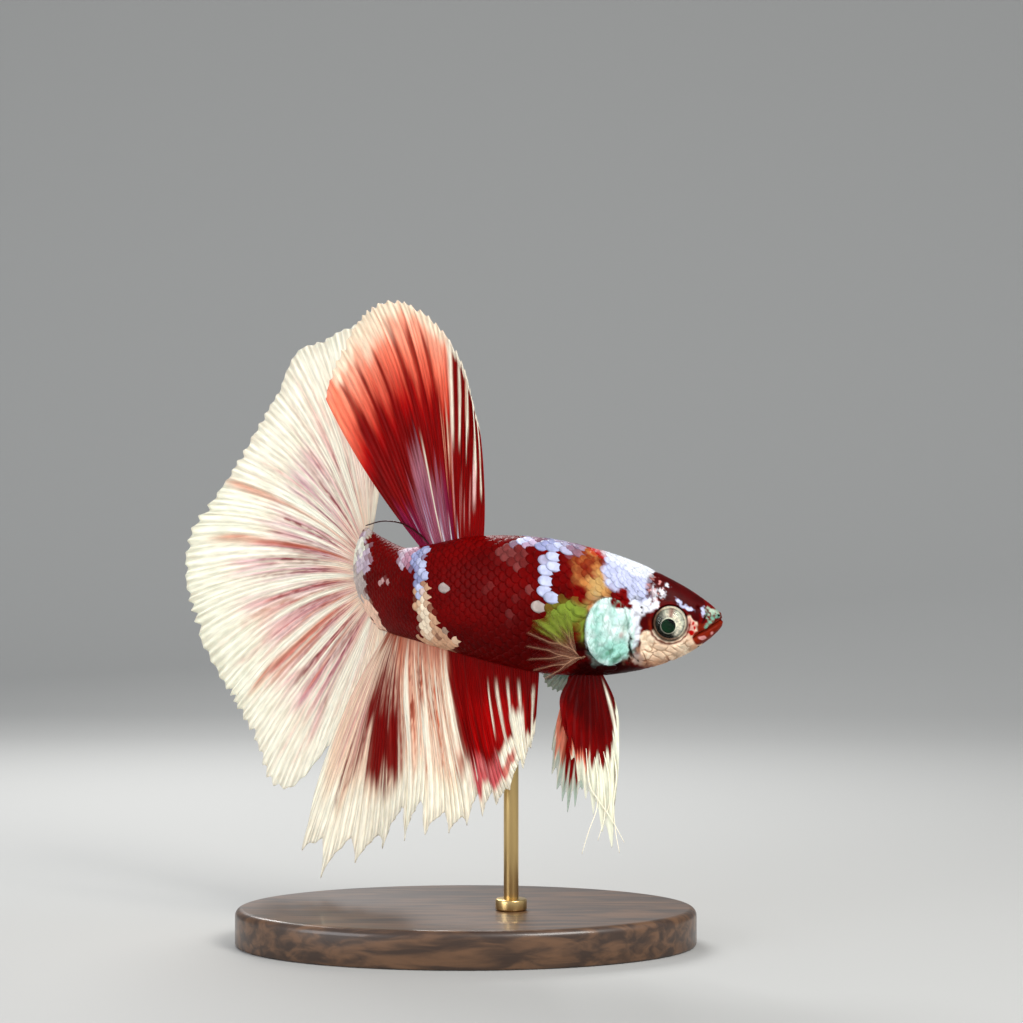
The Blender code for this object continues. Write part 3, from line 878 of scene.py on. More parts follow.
class Effects:
    """The shader groups that the finishes share."""

    def __init__(self) -> None:
        """Makes the groups."""
        self.grain = self.make_grain()
        self.rays = self.make_rays()

    @staticmethod
    def make_grain() -> bpy.types.NodeTree:
        """Noise in the object's own space, with a size in millimetres."""
        tree, g, given, out = new_group("Grain", {"Size": 1.0, "Detail": 3.0}, ("Value",))
        cloud = g.fill(
            g.node("ShaderNodeTexNoise"),
            Vector=g.node("ShaderNodeTexCoord").outputs["Object"],
            Scale=g.maths("DIVIDE", 1.0 / MM, given.outputs["Size"]),
            Detail=given.outputs["Detail"],
        )
        g.join(cloud.outputs[0], out.inputs["Value"])
        return tree

    @staticmethod
    def make_rays() -> bpy.types.NodeTree:
        """Fine lines that run from a fin's root to its margin."""
        tree, g, given, out = new_group("RayLines", {"Count": 56.0, "Wander": 0.15}, ("Ridge", "Fibre"))
        flat = g.node("ShaderNodeUVMap", uv_map=RAY_MAP)
        split = g.fill(g.node("ShaderNodeSeparateXYZ"), Vector=flat.outputs[0])
        lines = g.maths("MULTIPLY", split.outputs[0], given.outputs["Count"])
        way = g.fill(g.node("ShaderNodeCombineXYZ"), X=lines, Y=g.maths("MULTIPLY", split.outputs[1], 5.0))
        cloud = g.fill(g.node("ShaderNodeTexNoise"), Scale=0.35, Vector=way.outputs[0])
        shift = g.maths("MULTIPLY", g.maths("SUBTRACT", cloud.outputs[0], 0.5), given.outputs["Wander"])
        turns = g.maths("FRACT", g.maths("ADD", lines, shift))
        fold = g.maths("ABSOLUTE", g.maths("SUBTRACT", turns, 0.5))
        fibre = g.fill(g.node("ShaderNodeTexNoise"), Scale=2.2, Detail=2.0, Vector=way.outputs[0])
        g.fill(out, Ridge=g.fit(fold, 0.0, 0.42, 1.0, 0.0), Fibre=fibre.outputs[0])
        return tree


def start_material(name: str) -> tuple[bpy.types.Material, Graph, bpy.types.Node]:
    """An empty material with its graph and its main shader."""
    made = bpy.data.materials.new(name)
    made.use_nodes = True
    made.node_tree.nodes.clear()
    g = Graph(made.node_tree)
    surface = g.node("ShaderNodeBsdfPrincipled")
    g.join(surface.outputs[0], g.node("ShaderNodeOutputMaterial").inputs[0])
    return made, g, surface


@dataclass(frozen=True)
class PaintedFinish:
    """Wet flesh or scales that carry the markings; pearly places are glossier."""

    name: str
    roughness: float = 0.42
    pearl_roughness: float = 0.28
    coat: float = 0.0
    coat_roughness: float = 0.22
    specular: float = 0.035
    subsurface: float = 0.06
    grain: float = 0.35
    grain_depth: float = 0.02
    mottle: float = 0.25

    def build(self, effects: Effects) -> bpy.types.Material:
        """Makes the material."""
        made, g, surface = start_material(self.name)
        paint = g.node("ShaderNodeAttribute", attribute_name=MARKINGS)
        pearl = g.node("ShaderNodeAttribute", attribute_name=PEARL)
        cloud, fine = (
            g.fill(g.node("ShaderNodeGroup", node_tree=effects.grain), Size=self.grain * size, Detail=detail)
            for size, detail in ((3.0, 4.0), (1.0, 2.0))
        )
        shade = g.fit(cloud.outputs[0], 0.3, 0.7, 1.0 - self.mottle, 1.0 + self.mottle * 0.6)
        g.fill(
            surface,
            Base_Color=g.shaded(paint.outputs[0], shade),
            Roughness=g.fit(pearl.outputs["Fac"], 0.0, 1.0, self.roughness, self.pearl_roughness),
            Normal=g.bump(fine.outputs[0], self.grain_depth),
            Coat_Weight=self.coat,
            Coat_Roughness=self.coat_roughness,
            Specular_IOR_Level=self.specular,
            Subsurface_Weight=self.subsurface,
            Subsurface_Radius=(1.0, 0.45, 0.3),
            Subsurface_Scale=0.6 * MM,
        )
        return made


@dataclass(frozen=True)
class FinFinish:
    """A thin wet fin with fine rays; its opacity is the markings' fourth value."""

    name: str
    count: float
    ray_lift: float = 0.22
    ray_depth: float = 0.05
    fibre: float = 0.18
    glow: float = 0.25

    def build(self, effects: Effects) -> bpy.types.Material:
        """Makes the material."""
        made, g, surface = start_material(self.name)
        paint = g.node("ShaderNodeAttribute", attribute_name=MARKINGS)
        rays = g.fill(g.node("ShaderNodeGroup", node_tree=effects.rays), Count=self.count)
        line = rays.outputs["Ridge"]
        lift = g.maths("MULTIPLY_ADD", line, self.ray_lift, 1.0 - self.ray_lift * 0.5)
        web = g.fit(rays.outputs["Fibre"], 0.3, 0.7, 1.0 - self.fibre, 1.0 + self.fibre * 0.5)
        g.fill(
            surface,
            Base_Color=g.shaded(paint.outputs[0], g.maths("MULTIPLY", lift, web)),
            Alpha=g.maths("MULTIPLY_ADD", line, 0.2, paint.outputs["Alpha"], clamp=True),
            Normal=g.bump(line, self.ray_depth),
            Roughness=0.38,
            Specular_IOR_Level=0.04,
            Subsurface_Weight=self.glow,
            Subsurface_Radius=(1.0, 0.7, 0.6),
            Subsurface_Scale=0.8 * MM,
        )
        return made


@dataclass(frozen=True)
class PlainFinish:
    """One plain colour."""

    name: str
    colour: Colour
    roughness: float = 0.5
    metallic: float = 0.0
    specular: float = 0.5
    transmission: float = 0.0
    ior: float = 1.45

    def build(self) -> bpy.types.Material:
        """Makes the material."""
        made, g, surface = start_material(self.name)
        g.fill(
            surface,
            Base_Color=(*self.colour, 1.0),
            Roughness=self.roughness,
            Metallic=self.metallic,
            Specular_IOR_Level=self.specular,
            Transmission_Weight=self.transmission,
            IOR=self.ior,
        )
        return made


@dataclass(frozen=True)
class WoodFinish:
    """Dark oiled wood with its grain along the stand."""

    dark: Colour = (0.035, 0.016, 0.008)
    light: Colour = (0.13, 0.062, 0.028)

    def build(self) -> bpy.types.Material:
        """Makes the material."""
        made, g, surface = start_material("Walnut")
        place = g.node("ShaderNodeTexCoord").outputs["Object"]
        way = g.fill(g.node("ShaderNodeMapping"), Scale=(120.0, 900.0, 900.0), Vector=place).outputs[0]
        cloud = g.node("ShaderNodeTexNoise")
        cloud = g.fill(cloud, Scale=1.0, Detail=5.0, Distortion=0.6, Vector=way).outputs[0]
        amount = g.fit(cloud, 0.35, 0.68, 0.0, 1.0)
        g.fill(
            surface,
            Base_Color=g.mix(amount, (*self.dark, 1.0), (*self.light, 1.0)),
            Normal=g.bump(cloud, 0.02),
            Roughness=0.38,
            Coat_Weight=0.3,
        )
        return made


# ---------------------------------------------------------------- skin and scales


@dataclass
class Skin:
    """The one closed skin of head, trunk, tail stalk and gill covers."""

    body: BodyShape
    markings: Markings
    inset: float = 0.15
    around: int = 300
    rows: int = 318
    spans: Table = ((0.0, 0.16), (0.44, 9.5), (0.72, 17.0), (0.975, 43.0), (1.0, 43.0))
    end_close: float = 0.86
    plates_end: float = 15.5

    def row(self, r: float) -> Spot:
        """A row's distance from the snout and its inset; the last rows round off the tail's end."""
        last = self.spans[-2][0]
        share = max(r - last, 0.0) / (1.0 - last)
        inset = self.inset + self.end_close * (1.0 - math.sqrt(1.0 - share * share))
        for (r0, s0), (r1, s1) in zip(self.spans, self.spans[1:]):
            if r <= r1:
                break
        return lerp(s0, s1, (r - r0) / (r1 - r0)), inset

    def build(self, material: bpy.types.Material) -> bpy.types.Object:
        """Makes the skin with its relief and markings."""
        sheet = Sheet(self.around, self.rows)
        colours = sheet.bm.verts.layers.float_color.new(MARKINGS)
        pearls = sheet.bm.verts.layers.float.new(PEARL)
        reliefs = sheet.bm.verts.layers.float.new(RELIEF)
        for vert, (t, r) in zip(sheet.bm.verts, sheet.shares):
            (s, inset), turn = self.row(r), TURN * t - TURN / 4.0
            side, height = self.body.section_point(s, turn, inset)
            colour, vert[pearls] = self.markings.at(s, height, side, False)
            if s < self.plates_end:
                colour = self.markings.line_work(self.body, s, height, colour)
            vert.co = self.body.point(s, turn, inset)
            vert[colours] = (*colour, 1.0)
            vert[reliefs] = self.body.relief(s, height)
        sheet.close_round()
        sheet.bm.normal_update()
        for vert in sheet.bm.verts:
            vert.co += vert.normal * vert[reliefs]
        return finish_mesh("skin", sheet.bm, material)


@dataclass(frozen=True)
class Scale:
    """Where one scale grows, its size and its look."""

    s: float
    share: float
    half_width: float
    half_length: float
    lift: float
    colour: Colour
    pearl: float


@dataclass
class Coat:
    """The scales: thin overlapping plates over the skin.

    A bed of scales is its first s, its last s, the scales round the body and how far they stray.
    """

    body: BodyShape
    markings: Markings
    beds: Table = ((14.4, 42.2, 32, 0.03), (10.0, 14.4, 38, 0.16), (7.4, 10.0, 46, 0.22))
    cells: int = 5
    thickness: float = 0.035
    skin_inset: float = 0.15
    sink: float = 0.03
    biggest_piece: int = 1150
    soft_marks: float = 0.6
    soft_until: float = 16.4
    bake_patch: float = 0.0015
    bake_edge: float = 0.02
    bake_length: float = 46.0

    def covers(self, s: float, height: float) -> bool:
        """Whether scales grow at a place of the flank."""
        if self.body.from_eye(s, height) < self.body.eye_radius + 0.95 or s < self.beds[-1][0]:
            return False
        return not (s < 10.9 and height < 2.3) and self.body.cover_share(s + 0.2, height) > 1.04

    def bed(self, start: float, end: float, across: int, loose: float) -> list[Scale]:
        """The scales of one bed, in staggered columns."""
        made, s, odd = [], start, 0
        while s < end:
            pitch = self.body.ring(s)[-1] / across
            for k in range(across):
                share = (k + 0.5 * odd + loose * waver(k * 1.7, s * 0.9)) / across
                root = s + (0.12 + loose) * pitch * waver(k * 0.8, s * 1.3, 7.0)
                side, height = self.body.section_point(root, self.body.turn_at(root, share))
                if not self.covers(root, height):
                    continue
                colour, pearl = self.markings.at(root + 1.15 * pitch, height, side, True)
                tone = 1.0 + (0.06 + 0.08 * pearl) * waver(k * 3.1, s * 2.7, 3.0)
                size = pitch * (1.0 + (0.05 + loose) * waver(k * 2.3, s * 1.9, 11.0))
                lift = 0.042 + 0.055 * min(pearl * 1.5, 1.0) + 0.015 * waver(k * 1.1, s, 17.0)
                colour = tuple(c * tone for c in colour)
                made.append(Scale(root, share, 0.6 * size, 0.74 * size, lift, colour, pearl))
            s += 0.56 * pitch
            odd = 1 - odd
        return made

    def place(self, scale: Scale, u: float, v: float) -> tuple[Vector, float, float]:
        """A point of a scale.

        Args:
            scale: The scale.
            u: Place across it, from -1 to 1.
            v: Place along it, from its root at -1 to its tip at 1.

        Returns:
            The point, its distance from the snout and its turn round the body.
        """
        x = u * math.sqrt(1.0 - v * v / 2.0)
        up = (v * math.sqrt(1.0 - u * u / 2.0) + 1.0) / 2.0
        s = min(scale.s + scale.half_length * up * 2.0, self.body.tail_end)
        turn = self.body.turn_at(s, scale.share + x * scale.half_width / self.body.ring(s)[-1])
        crown = (0.012 + 0.02 * scale.pearl) * (1.0 - x * x) * (1.0 - 0.5 * up)
        out = scale.lift * up + crown - self.sink
        return self.body.point(s, turn, self.skin_inset - out), s, turn

    def painted(self, scale: Scale, s: float, turn: float) -> Colour:
        """Colour of a point of a scale: its own tone, and on the nape the skin's marks too."""
        local = self.soft_marks * rise(scale.s, self.soft_until, self.soft_until - 1.5)
        if local <= 0.0:
            return scale.colour
        side, height = self.body.section_point(s, turn)
        return blend(scale.colour, self.markings.at(s, height, side, False)[0], local)

    def piece(self, name: str, scales: list[Scale], material: bpy.types.Material) -> bpy.types.Object:
        """Makes one piece of the coat."""
        plates = Strips(len(scales), self.cells, self.cells)
        spots = [
            (scales[index], column / self.cells * 2.0 - 1.0, row / self.cells * 2.0 - 1.0)
            for index, column, row in plates.places
        ]
        colours = plates.bm.verts.layers.float_color.new(MARKINGS)
        pearls = plates.bm.verts.layers.float.new(PEARL)
        bake = plates.bm.loops.layers.uv.new(BAKE_MAP)
        for vert, (scale, u, v) in zip(plates.bm.verts, spots):
            vert.co, s, turn = self.place(scale, u, v)
            edge = ease((max(abs(u), abs(v)) - 0.72) * 4.0)
            outline = 0.06 + 0.42 * scale.pearl * (0.3 + 0.7 * rise(scale.s, 12.5, 14.5))
            shade = (1.0 - outline * edge) * (0.95 + 0.05 * v)
            vert[colours] = (*(c * shade for c in self.painted(scale, s, turn)), 1.0)
            vert[pearls] = scale.pearl
        plates.bm.verts.index_update()
        room = 1.0 - 2.0 * self.bake_edge
        for face in plates.bm.faces:
            for loop in face.loops:
                scale, u, v = spots[loop.vert.index]
                corner = (scale.share % 1.0, scale.s / self.bake_length)
                loop[bake].uv = [
                    self.bake_edge + room * c + self.bake_patch * w for c, w in zip(corner, (u, v))
                ]
        bmesh.ops.recalc_face_normals(plates.bm, faces=plates.bm.faces)
        made = finish_mesh(name, plates.bm, material)
        thicken(made, self.thickness)
        return made

    def build(self, material: bpy.types.Material) -> list[bpy.types.Object]:
        """Makes the coat in pieces."""
        scales = [scale for bed in self.beds for scale in self.bed(*bed)]
        starts = range(0, len(scales), self.biggest_piece)
        return [
            self.piece(f"scales_{number}", scales[first : first + self.biggest_piece], material)
            for number, first in enumerate(starts, 1)
        ]


# ---------------------------------------------------------------- eyes


@dataclass
class Eye:
    """One eye: a painted ball, a dark lens and a clear cornea; out is 1 on the right."""

    side: str
    out: float
    pupil: float = 0.78
    shift: Spot = (-0.19, -0.26)
    lens_depth: float = 0.2
    ball_size: float = 0.94
    columns: int = 180
    rows: int = 130

    def __post_init__(self) -> None:
        """Takes the eye's place from the frame."""
        low, high = node_box("eye_" + self.side)
        self.centre = (low + high) / 2.0
        self.radii = (high - low) / 2.0

    def iris(self, t: float, r: float) -> tuple[float, ...]:
        """Colour of the ball at a place; the side towards the snout is painted pale as the lit side, with a
        painted highlight, and the side towards the tail is painted dark as the shaded side.
        """
        flat = math.sin(math.pi * r) * self.radii.x
        x = flat * math.cos(TURN * t) - self.shift[0]
        z = flat * math.sin(TURN * t) - self.shift[1]
        from_pupil, around = math.hypot(x, z), math.atan2(z, x)
        if from_pupil < self.pupil or r > 0.5:
            return (*Tint.INK.rgb, 1.0)
        fleck = 0.5 + 0.5 * waver(math.cos(around) * 7.0, math.sin(around) * 7.0, flat * 3.0)
        # Painted light: the iris, its silver ring and its rim are painted lighter on the side towards the
        # snout and upwards, as lit, and darker opposite, as shaded.
        lit_side = ease((math.cos(around - 0.5) + 0.25 + 0.2 * (fleck - 0.5)) * 1.1)
        colour = blend(Tint.INK.rgb, blend(Tint.SMOKE.rgb, Tint.MILK.rgb, 0.5), 0.015 + 0.98 * lit_side)
        # Partly a painted highlight: the ivory band round the pupil on the lit side.
        colour = blend(colour, Tint.IVORY.rgb, 0.8 * lit_side * ridge(from_pupil - 1.18, 0.26))
        upper = ridge(around - 2.1, 0.6) * ridge(from_pupil - 1.2, 0.35)
        colour = blend(colour, Tint.SMOKE.rgb, 0.35 * upper)
        stripe = ridge(around - 1.35, 0.22) * rise(from_pupil, 0.8, 1.0)
        colour = blend(colour, Tint.RUST.rgb, 0.75 * stripe)
        colour = tuple(c * (0.65 + 0.7 * fleck) for c in colour)
        silver = (0.55 + 0.45 * lit_side) * ridge(from_pupil - self.pupil - 0.06, 0.06)
        rim = blend(Tint.SAND.rgb, Tint.MILK.rgb, 0.7 * lit_side)
        for tint, amount in (
            (Tint.MILK.rgb, silver),
            (Tint.INK.rgb, 0.5 * lit_side * ridge(flat - 1.56, 0.06)),
            (rim, (0.55 + 0.3 * lit_side) * rise(flat, 1.6, 1.68)),
            (Tint.INK.rgb, 0.7 * rise(flat, 1.76, 1.84)),
        ):
            colour = blend(colour, tint, amount)
        return (*colour, 1.0)

    def bead(self, name: str, sheet: Sheet, middle: Vector, radii: Vector, finish) -> bpy.types.Object:
        """Makes a round piece whose poles lie in front and behind."""

        def place(t: float, r: float) -> Vector:
            """A point of the piece; r runs from the front pole to the back."""
            flat, front = math.sin(math.pi * r), -self.out * math.cos(math.pi * r)
            spot = Vector((flat * math.cos(TURN * t), front, flat * math.sin(TURN * t)))
            return middle + radii * spot

        sheet.shape(place)
        sheet.close_round()
        return finish_mesh(f"{name}_{self.side}", sheet.bm, finish)

    def build(self, ball_finish, lens_finish, clear_finish) -> list[bpy.types.Object]:
        """Makes the eye's three pieces."""
        ball = Sheet(self.columns, self.rows)
        ball.paint(self.iris)
        front = Vector((self.shift[0], -self.out * self.radii.y * 0.8, self.shift[1]))
        lens = Vector((self.pupil, self.lens_depth, self.pupil))
        clear = Sheet(self.columns, self.rows)
        return [
            self.bead("eyeball", ball, self.centre, self.radii * self.ball_size, ball_finish),
            self.bead("pupil", Sheet(40, 20), self.centre + front, lens, lens_finish),
            self.bead("cornea", clear, self.centre, self.radii, clear_finish),
        ]


# ---------------------------------------------------------------- fins


class Part(Enum):
    """Which part of a fin's sheet a stain colours."""

    ALL = 0
    RAYS = 1
    WEB = 2


@dataclass(frozen=True)
class Stain:
    """A coloured field of a fin, with edges that run ragged along the rays."""

    tint: Tint
    t0: float
    t1: float
    r0: float
    r1: float
    strength: float = 1.0
    soft_t: float = 0.02
    soft_r: float = 0.06
    ragged: float = 0.08
    on: Part = Part.ALL
    slant: float = 0.0
    opacity: float = -1.0
    crumble: float = 0.0

    def amount(self, t: float, r: float, line: float) -> float:
        """How strongly the stain covers a place, where line is 1 on a ray and 0 between two."""
        near = 3.0 * self.soft_t
        if not self.t0 - near < t < self.t1 + near:
            return 0.0
        r += self.slant * (t - 0.5)
        r += self.ragged * (waver(t * 70.0, 1.5) + 0.7 * waver(t * 22.0, 4.5))
        t += self.soft_t * 0.8 * waver(t * 30.0, r * 4.0, 8.0)
        here = (1.0, line, 1.0 - line)[self.on.value]
        for at, low, high, soft in ((t, self.t0, self.t1, self.soft_t), (r, self.r0, self.r1, self.soft_r)):
            here *= rise(at, low - soft, low + soft) * rise(at, high + soft, high - soft)
        if self.crumble > 0.0 and here > 0.0:
            here *= 1.0 - self.crumble * rise(waver(t * 160.0, r * 26.0, 6.0), -0.25, 0.2)
        return self.strength * here


def streak(
    tint: Tint, t: float, r0: float, r1: float, width: float, strength: float, crumble: float = 0.0
) -> Stain:
    """A narrow stain along the rays; one on the near pelvic fin is a painted highlight."""
    return Stain(tint, t - width, t + width, r0, r1, strength, width, 0.08, 0.02, crumble=crumble)


def strokes(
    tint: Tint, count: int, seed: int, across: Spot, along: Spot, strength: float, crumble: float = 0.0
) -> tuple[Stain, ...]:
    """Many fine irregular streaks in a field.

    Args:
        tint: Their colour.
        count: How many.
        seed: Seed of their places.
        across: First and last t.
        along: First and last r.
        strength: Strength of the strongest.
        crumble: How far they break up into dashes.

    Returns:
        The streaks.
    """
    dice = random.Random(seed)
    span = along[1] - along[0]
    made = []
    for _ in range(count):
        t = dice.uniform(*across)
        start = along[0] + span * dice.uniform(0.0, 0.55)
        end = min(start + span * dice.uniform(0.25, 0.7), along[1])
        width = dice.uniform(0.0016, 0.0045)
        made.append(streak(tint, t, start, end, width, strength * dice.uniform(0.5, 1.0), crumble))
    return tuple(made)


def streaks(*rows: tuple) -> tuple[Stain, ...]:
    """Several streaks, from the values of each."""
    return tuple(streak(*row) for row in rows)


@dataclass(frozen=True)
class FinPaint:
    """The colours of a fin: a ground and the stains over it."""

    ground: Tint
    stains: tuple[Stain, ...]
    clear_from: float = 0.9
    clear_to: float = 0.6
    body_alpha: float = 0.97

    def at(self, t: float, r: float, line: float = 1.0) -> tuple[float, ...]:
        """Linear colour and opacity at a place."""
        colour, body = self.ground.rgb, self.body_alpha
        for stain in self.stains:
            amount = stain.amount(t, r, line)
            if amount > 0.0:
                colour = blend(colour, stain.tint.rgb, amount)
                if stain.opacity >= 0.0:
                    body = lerp(body, stain.opacity, amount)
        tone = 1.0 + 0.1 * waver(t * 90.0, r * 2.5, 14.0)
        alpha = lerp(body, self.clear_to, rise(r, self.clear_from, 1.0))
        return (*(min(c * tone, 1.0) for c in colour), alpha)


Branch = tuple[float, int, int, float]
Ring = tuple[Vector, Vector, Vector, float, Colour]


@dataclass(frozen=True)
class RaySystem:
    """The rays of a fin, each of which forks twice; a branch is its middle, two sides and a start."""

    count: int
    first_fork: float = 0.2
    second_fork: float = 0.55
    taper: float = 0.0

    def spread(self, r: float) -> Spot:
        """How far the two forks have opened at r, in shares of a ray's field."""
        one = 0.25 * ease((r - self.first_fork) / 0.35)
        return one, 0.125 * ease((r - self.second_fork) / 0.25)

    def flute(self, t: float, r: float) -> float:
        """1 on a ray and 0 in the middle between two."""
        one, two = self.spread(r)
        off = abs(abs(abs((t * self.count) % 1.0 - 0.5) - one) - two)
        return 1.0 - min(off / max(0.5 - one - two, 0.125), 1.0)

    def line(self, t: float, r: float) -> float:
        """A soft mask of the rays, of which some are fainter."""
        faint = 0.75 + 0.5 * waver(t * self.count * 1.3, r * 1.5, 51.0)
        return ease((self.flute(t, r) - 0.42 - self.taper * r) * 2.6) * min(faint, 1.0)

    def branches(self) -> list[Branch]:
        """All the branches of the rays."""
        ways = ((-1, -1, 0.0), (1, 1, self.first_fork), (-1, 1, self.second_fork), (1, -1, self.second_fork))
        return [((k + 0.5) / self.count, *way) for k in range(self.count) for way in ways]

    def track(self, branch: Branch, r: float) -> float:
        """The share t of a branch at r."""
        one, two = self.spread(r)
        return branch[0] + (branch[1] * one + branch[2] * two) / self.count


def tubes(name: str, size: tuple[int, int, int], ring: Callable[[int, float], Ring], finish):
    """Makes many tapered round tubes in one piece.

    Args:
        name: Name of the piece.
        size: Number of tubes, cells round a tube and cells along it.
        ring: Gives centre, two cross directions, radius and colour for a tube and a share of
            its length.
        finish: The material.

    Returns:
        The piece.
    """
    strips, (_, around, along) = Strips(*size), size
    bm = strips.bm
    colours = bm.verts.layers.float_color.new(MARKINGS)
    rings: dict[tuple[int, int], Ring] = {}
    for vert, (index, column, row) in zip(bm.verts, strips.places):
        if (index, row) not in rings:
            rings[index, row] = ring(index, row / along)
        centre, first, second, radius, colour = rings[index, row]
        turn = TURN * column / around
        vert.co = centre + (first * math.cos(turn) + second * math.sin(turn)) * radius
        vert[colours] = (*colour, 1.0)
    bm.loops.layers.uv.new(RAY_MAP)
    bmesh.ops.remove_doubles(bm, verts=bm.verts, dist=1e-5)
    bmesh.ops.holes_fill(bm, edges=bm.edges, sides=0)
    bmesh.ops.recalc_face_normals(bm, faces=bm.faces)
    return finish_mesh(name, bm, finish)


@dataclass
class Strand:
    """One free thread, such as a long tip of a pelvic fin: its path, two radii and colour."""

    path: tuple[Vector, ...]
    root_radius: float
    tip_radius: float
    tint: Tint

    def spot(self, share: float) -> Vector:
        """A point of the strand's smooth path."""
        last = len(self.path) - 1
        rows = tuple((i / last, *row) for i, row in enumerate(self.path))
        return Vector([through(rows, share, column) for column in (1, 2, 3)])

    def ring(self, share: float) -> Ring:
        """One ring of the strand."""
        ahead = (self.spot(min(share + 0.02, 1.0)) - self.spot(max(share - 0.02, 0.0))).normalized()
        first = ahead.cross(Vector((0.0, 1.0, 0.0))).normalized()
        radius = lerp(self.root_radius, self.tip_radius, share) * (0.3 + 0.7 * ease(share * 5.0))
        return self.spot(share), first, ahead.cross(first), radius, self.tint.rgb


@dataclass
class Fin:
    """A fin: a fluted membrane and the tubes of its rays."""

    name: str
    place: Callable[[float, float, float], Vector]
    paint: FinPaint
    rays: RaySystem
    columns: int
    rows: int
    flute: float = 0.12
    thickness: float = 0.1
    ray_radius: float = 0.1
    tip_radius: float = 0.03
    ray_share: float = 0.004

    def fluted(self, t: float, r: float) -> Vector:
        """A point of the membrane."""
        return self.place(t, r, self.flute * ease(r * 4.0) * (self.rays.flute(t, r) - 0.5))

    def membrane(self, material: bpy.types.Material) -> bpy.types.Object:
        """Makes the membrane."""
        sheet = Sheet(self.columns, self.rows)
        sheet.shape(self.fluted)
        sheet.paint(lambda t, r: self.paint.at(t, r, self.rays.line(t, r)))
        bmesh.ops.recalc_face_normals(sheet.bm, faces=sheet.bm.faces)
        made = finish_mesh(self.name, sheet.bm, material)
        thicken(made, self.thickness)
        return made

    def ray(self, branch: Branch, share: float) -> Ring:
        """One ring of a ray, which tapers and lies along the membrane."""
        r = lerp(branch[3], 1.0, share)
        t = self.rays.track(branch, r)
        here = self.fluted(t, r)
        ahead = self.fluted(self.rays.track(branch, r + 0.01), r + 0.01) - here
        aside = self.place(t + 0.002, r, 0.0) - self.place(t - 0.002, r, 0.0)
        facing = ahead.cross(aside).normalized()
        radius = lerp(self.ray_radius, self.tip_radius, r**0.7) * (1.0 - 0.75 * rise(share, 0.96, 1.0))
        if branch[3] > 0.0:
            radius *= ease(share * 12.0) * 0.95 + 0.05
        colour = blend(self.paint.at(t, r, 1.0)[:3], Tint.IVORY.rgb, self.ray_share)
        return here, facing, facing.cross(ahead).normalized(), radius, colour

    def install(self, material: bpy.types.Material, slot: str, node: str) -> None:
        """Makes the membrane and the rays, and ties them to the frame."""
        branches = self.rays.branches()
        install(self.membrane(material), slot, (node,))
        size = (len(branches), 6, 36)
        rays = tubes(self.name + "_rays", size, lambda i, share: self.ray(branches[i], share), material)
        install(rays, slot)


@dataclass(frozen=True)
class Margin:
    """The uneven edge of a fin: teeth with their depth, unevenness, skew, calm start and point."""

    teeth: int
    depth: float
    uneven: float = 0.5
    slope: float = 0.0
    calm_until: float = 0.0
    point: float = 1.3

    def reach(self, t: float) -> float:
        """Share of the full length at t."""
        place = t * self.teeth + 0.6 * waver(t * self.teeth * 0.3, 12.0)
        place += self.slope * math.cos(TURN * place)
        notch = abs(math.cos(math.pi * place)) ** self.point
        depth = self.depth * max(1.0 + self.uneven * waver(math.floor(place + 0.5) * 0.9, 2.0), 0.15)
        if self.calm_until > 0.0:
            depth *= 0.35 + 0.65 * rise(t, self.calm_until * 0.6, self.calm_until)
        return 1.0 - depth * notch - 0.35 * self.depth * (0.5 + 0.5 * waver(t * self.teeth * 0.6, 7.0))


def between(root: Spot, tip: Spot, r: float, bow: float) -> Spot:
    """A point on a ray in the fin's plane, bowed sideways from the straight line.

    Args:
        root: Start (s, height).
        tip: End (s, height).
        r: Share of the way.
        bow: Greatest distance from the straight line.

    Returns:
        The point (s, height).
    """
    x, y = tip[0] - root[0], tip[1] - root[1]
    bulge = 4.0 * bow * r * (1.0 - r) / math.hypot(x, y)
    return root[0] + x * r - y * bulge, root[1] + y * r + x * bulge


@dataclass
class MiddleFin:
    """Where a fin of the middle plane lies.

    A row of sweep holds t and how the rays lean and bow there, and a row of edge holds t and the
    tip (s, height); root holds the first and last s of the root.
    """

    body: BodyShape
    plan: PlanCurve
    margin: Margin
    sweep, edge = (), ()
    root = (0.0, 0.0)
    sink = 0.9

    def swept(self, t: float, r: float) -> float:
        """The share of the fin's width at which the ray t is at r."""
        lean, bow = through(self.sweep, t, 1), through(self.sweep, t, 2)
        stray = 0.01 * math.sin(math.pi * clamp(t)) * waver(t * 13.0, r * 1.2, 91.0)
        return t + lean * (0.6 - r) - bow * 4.0 * r * (1.0 - r) + stray

    def ends(self, t: float, outline: Callable[[float], float], sink: float) -> tuple[Spot, Spot]:
        """Root and tip of a ray that grows from an outline of the body."""
        s = lerp(*self.root, t)
        return (s, outline(s) + sink), (through(self.edge, t, 1), through(self.edge, t, 2))


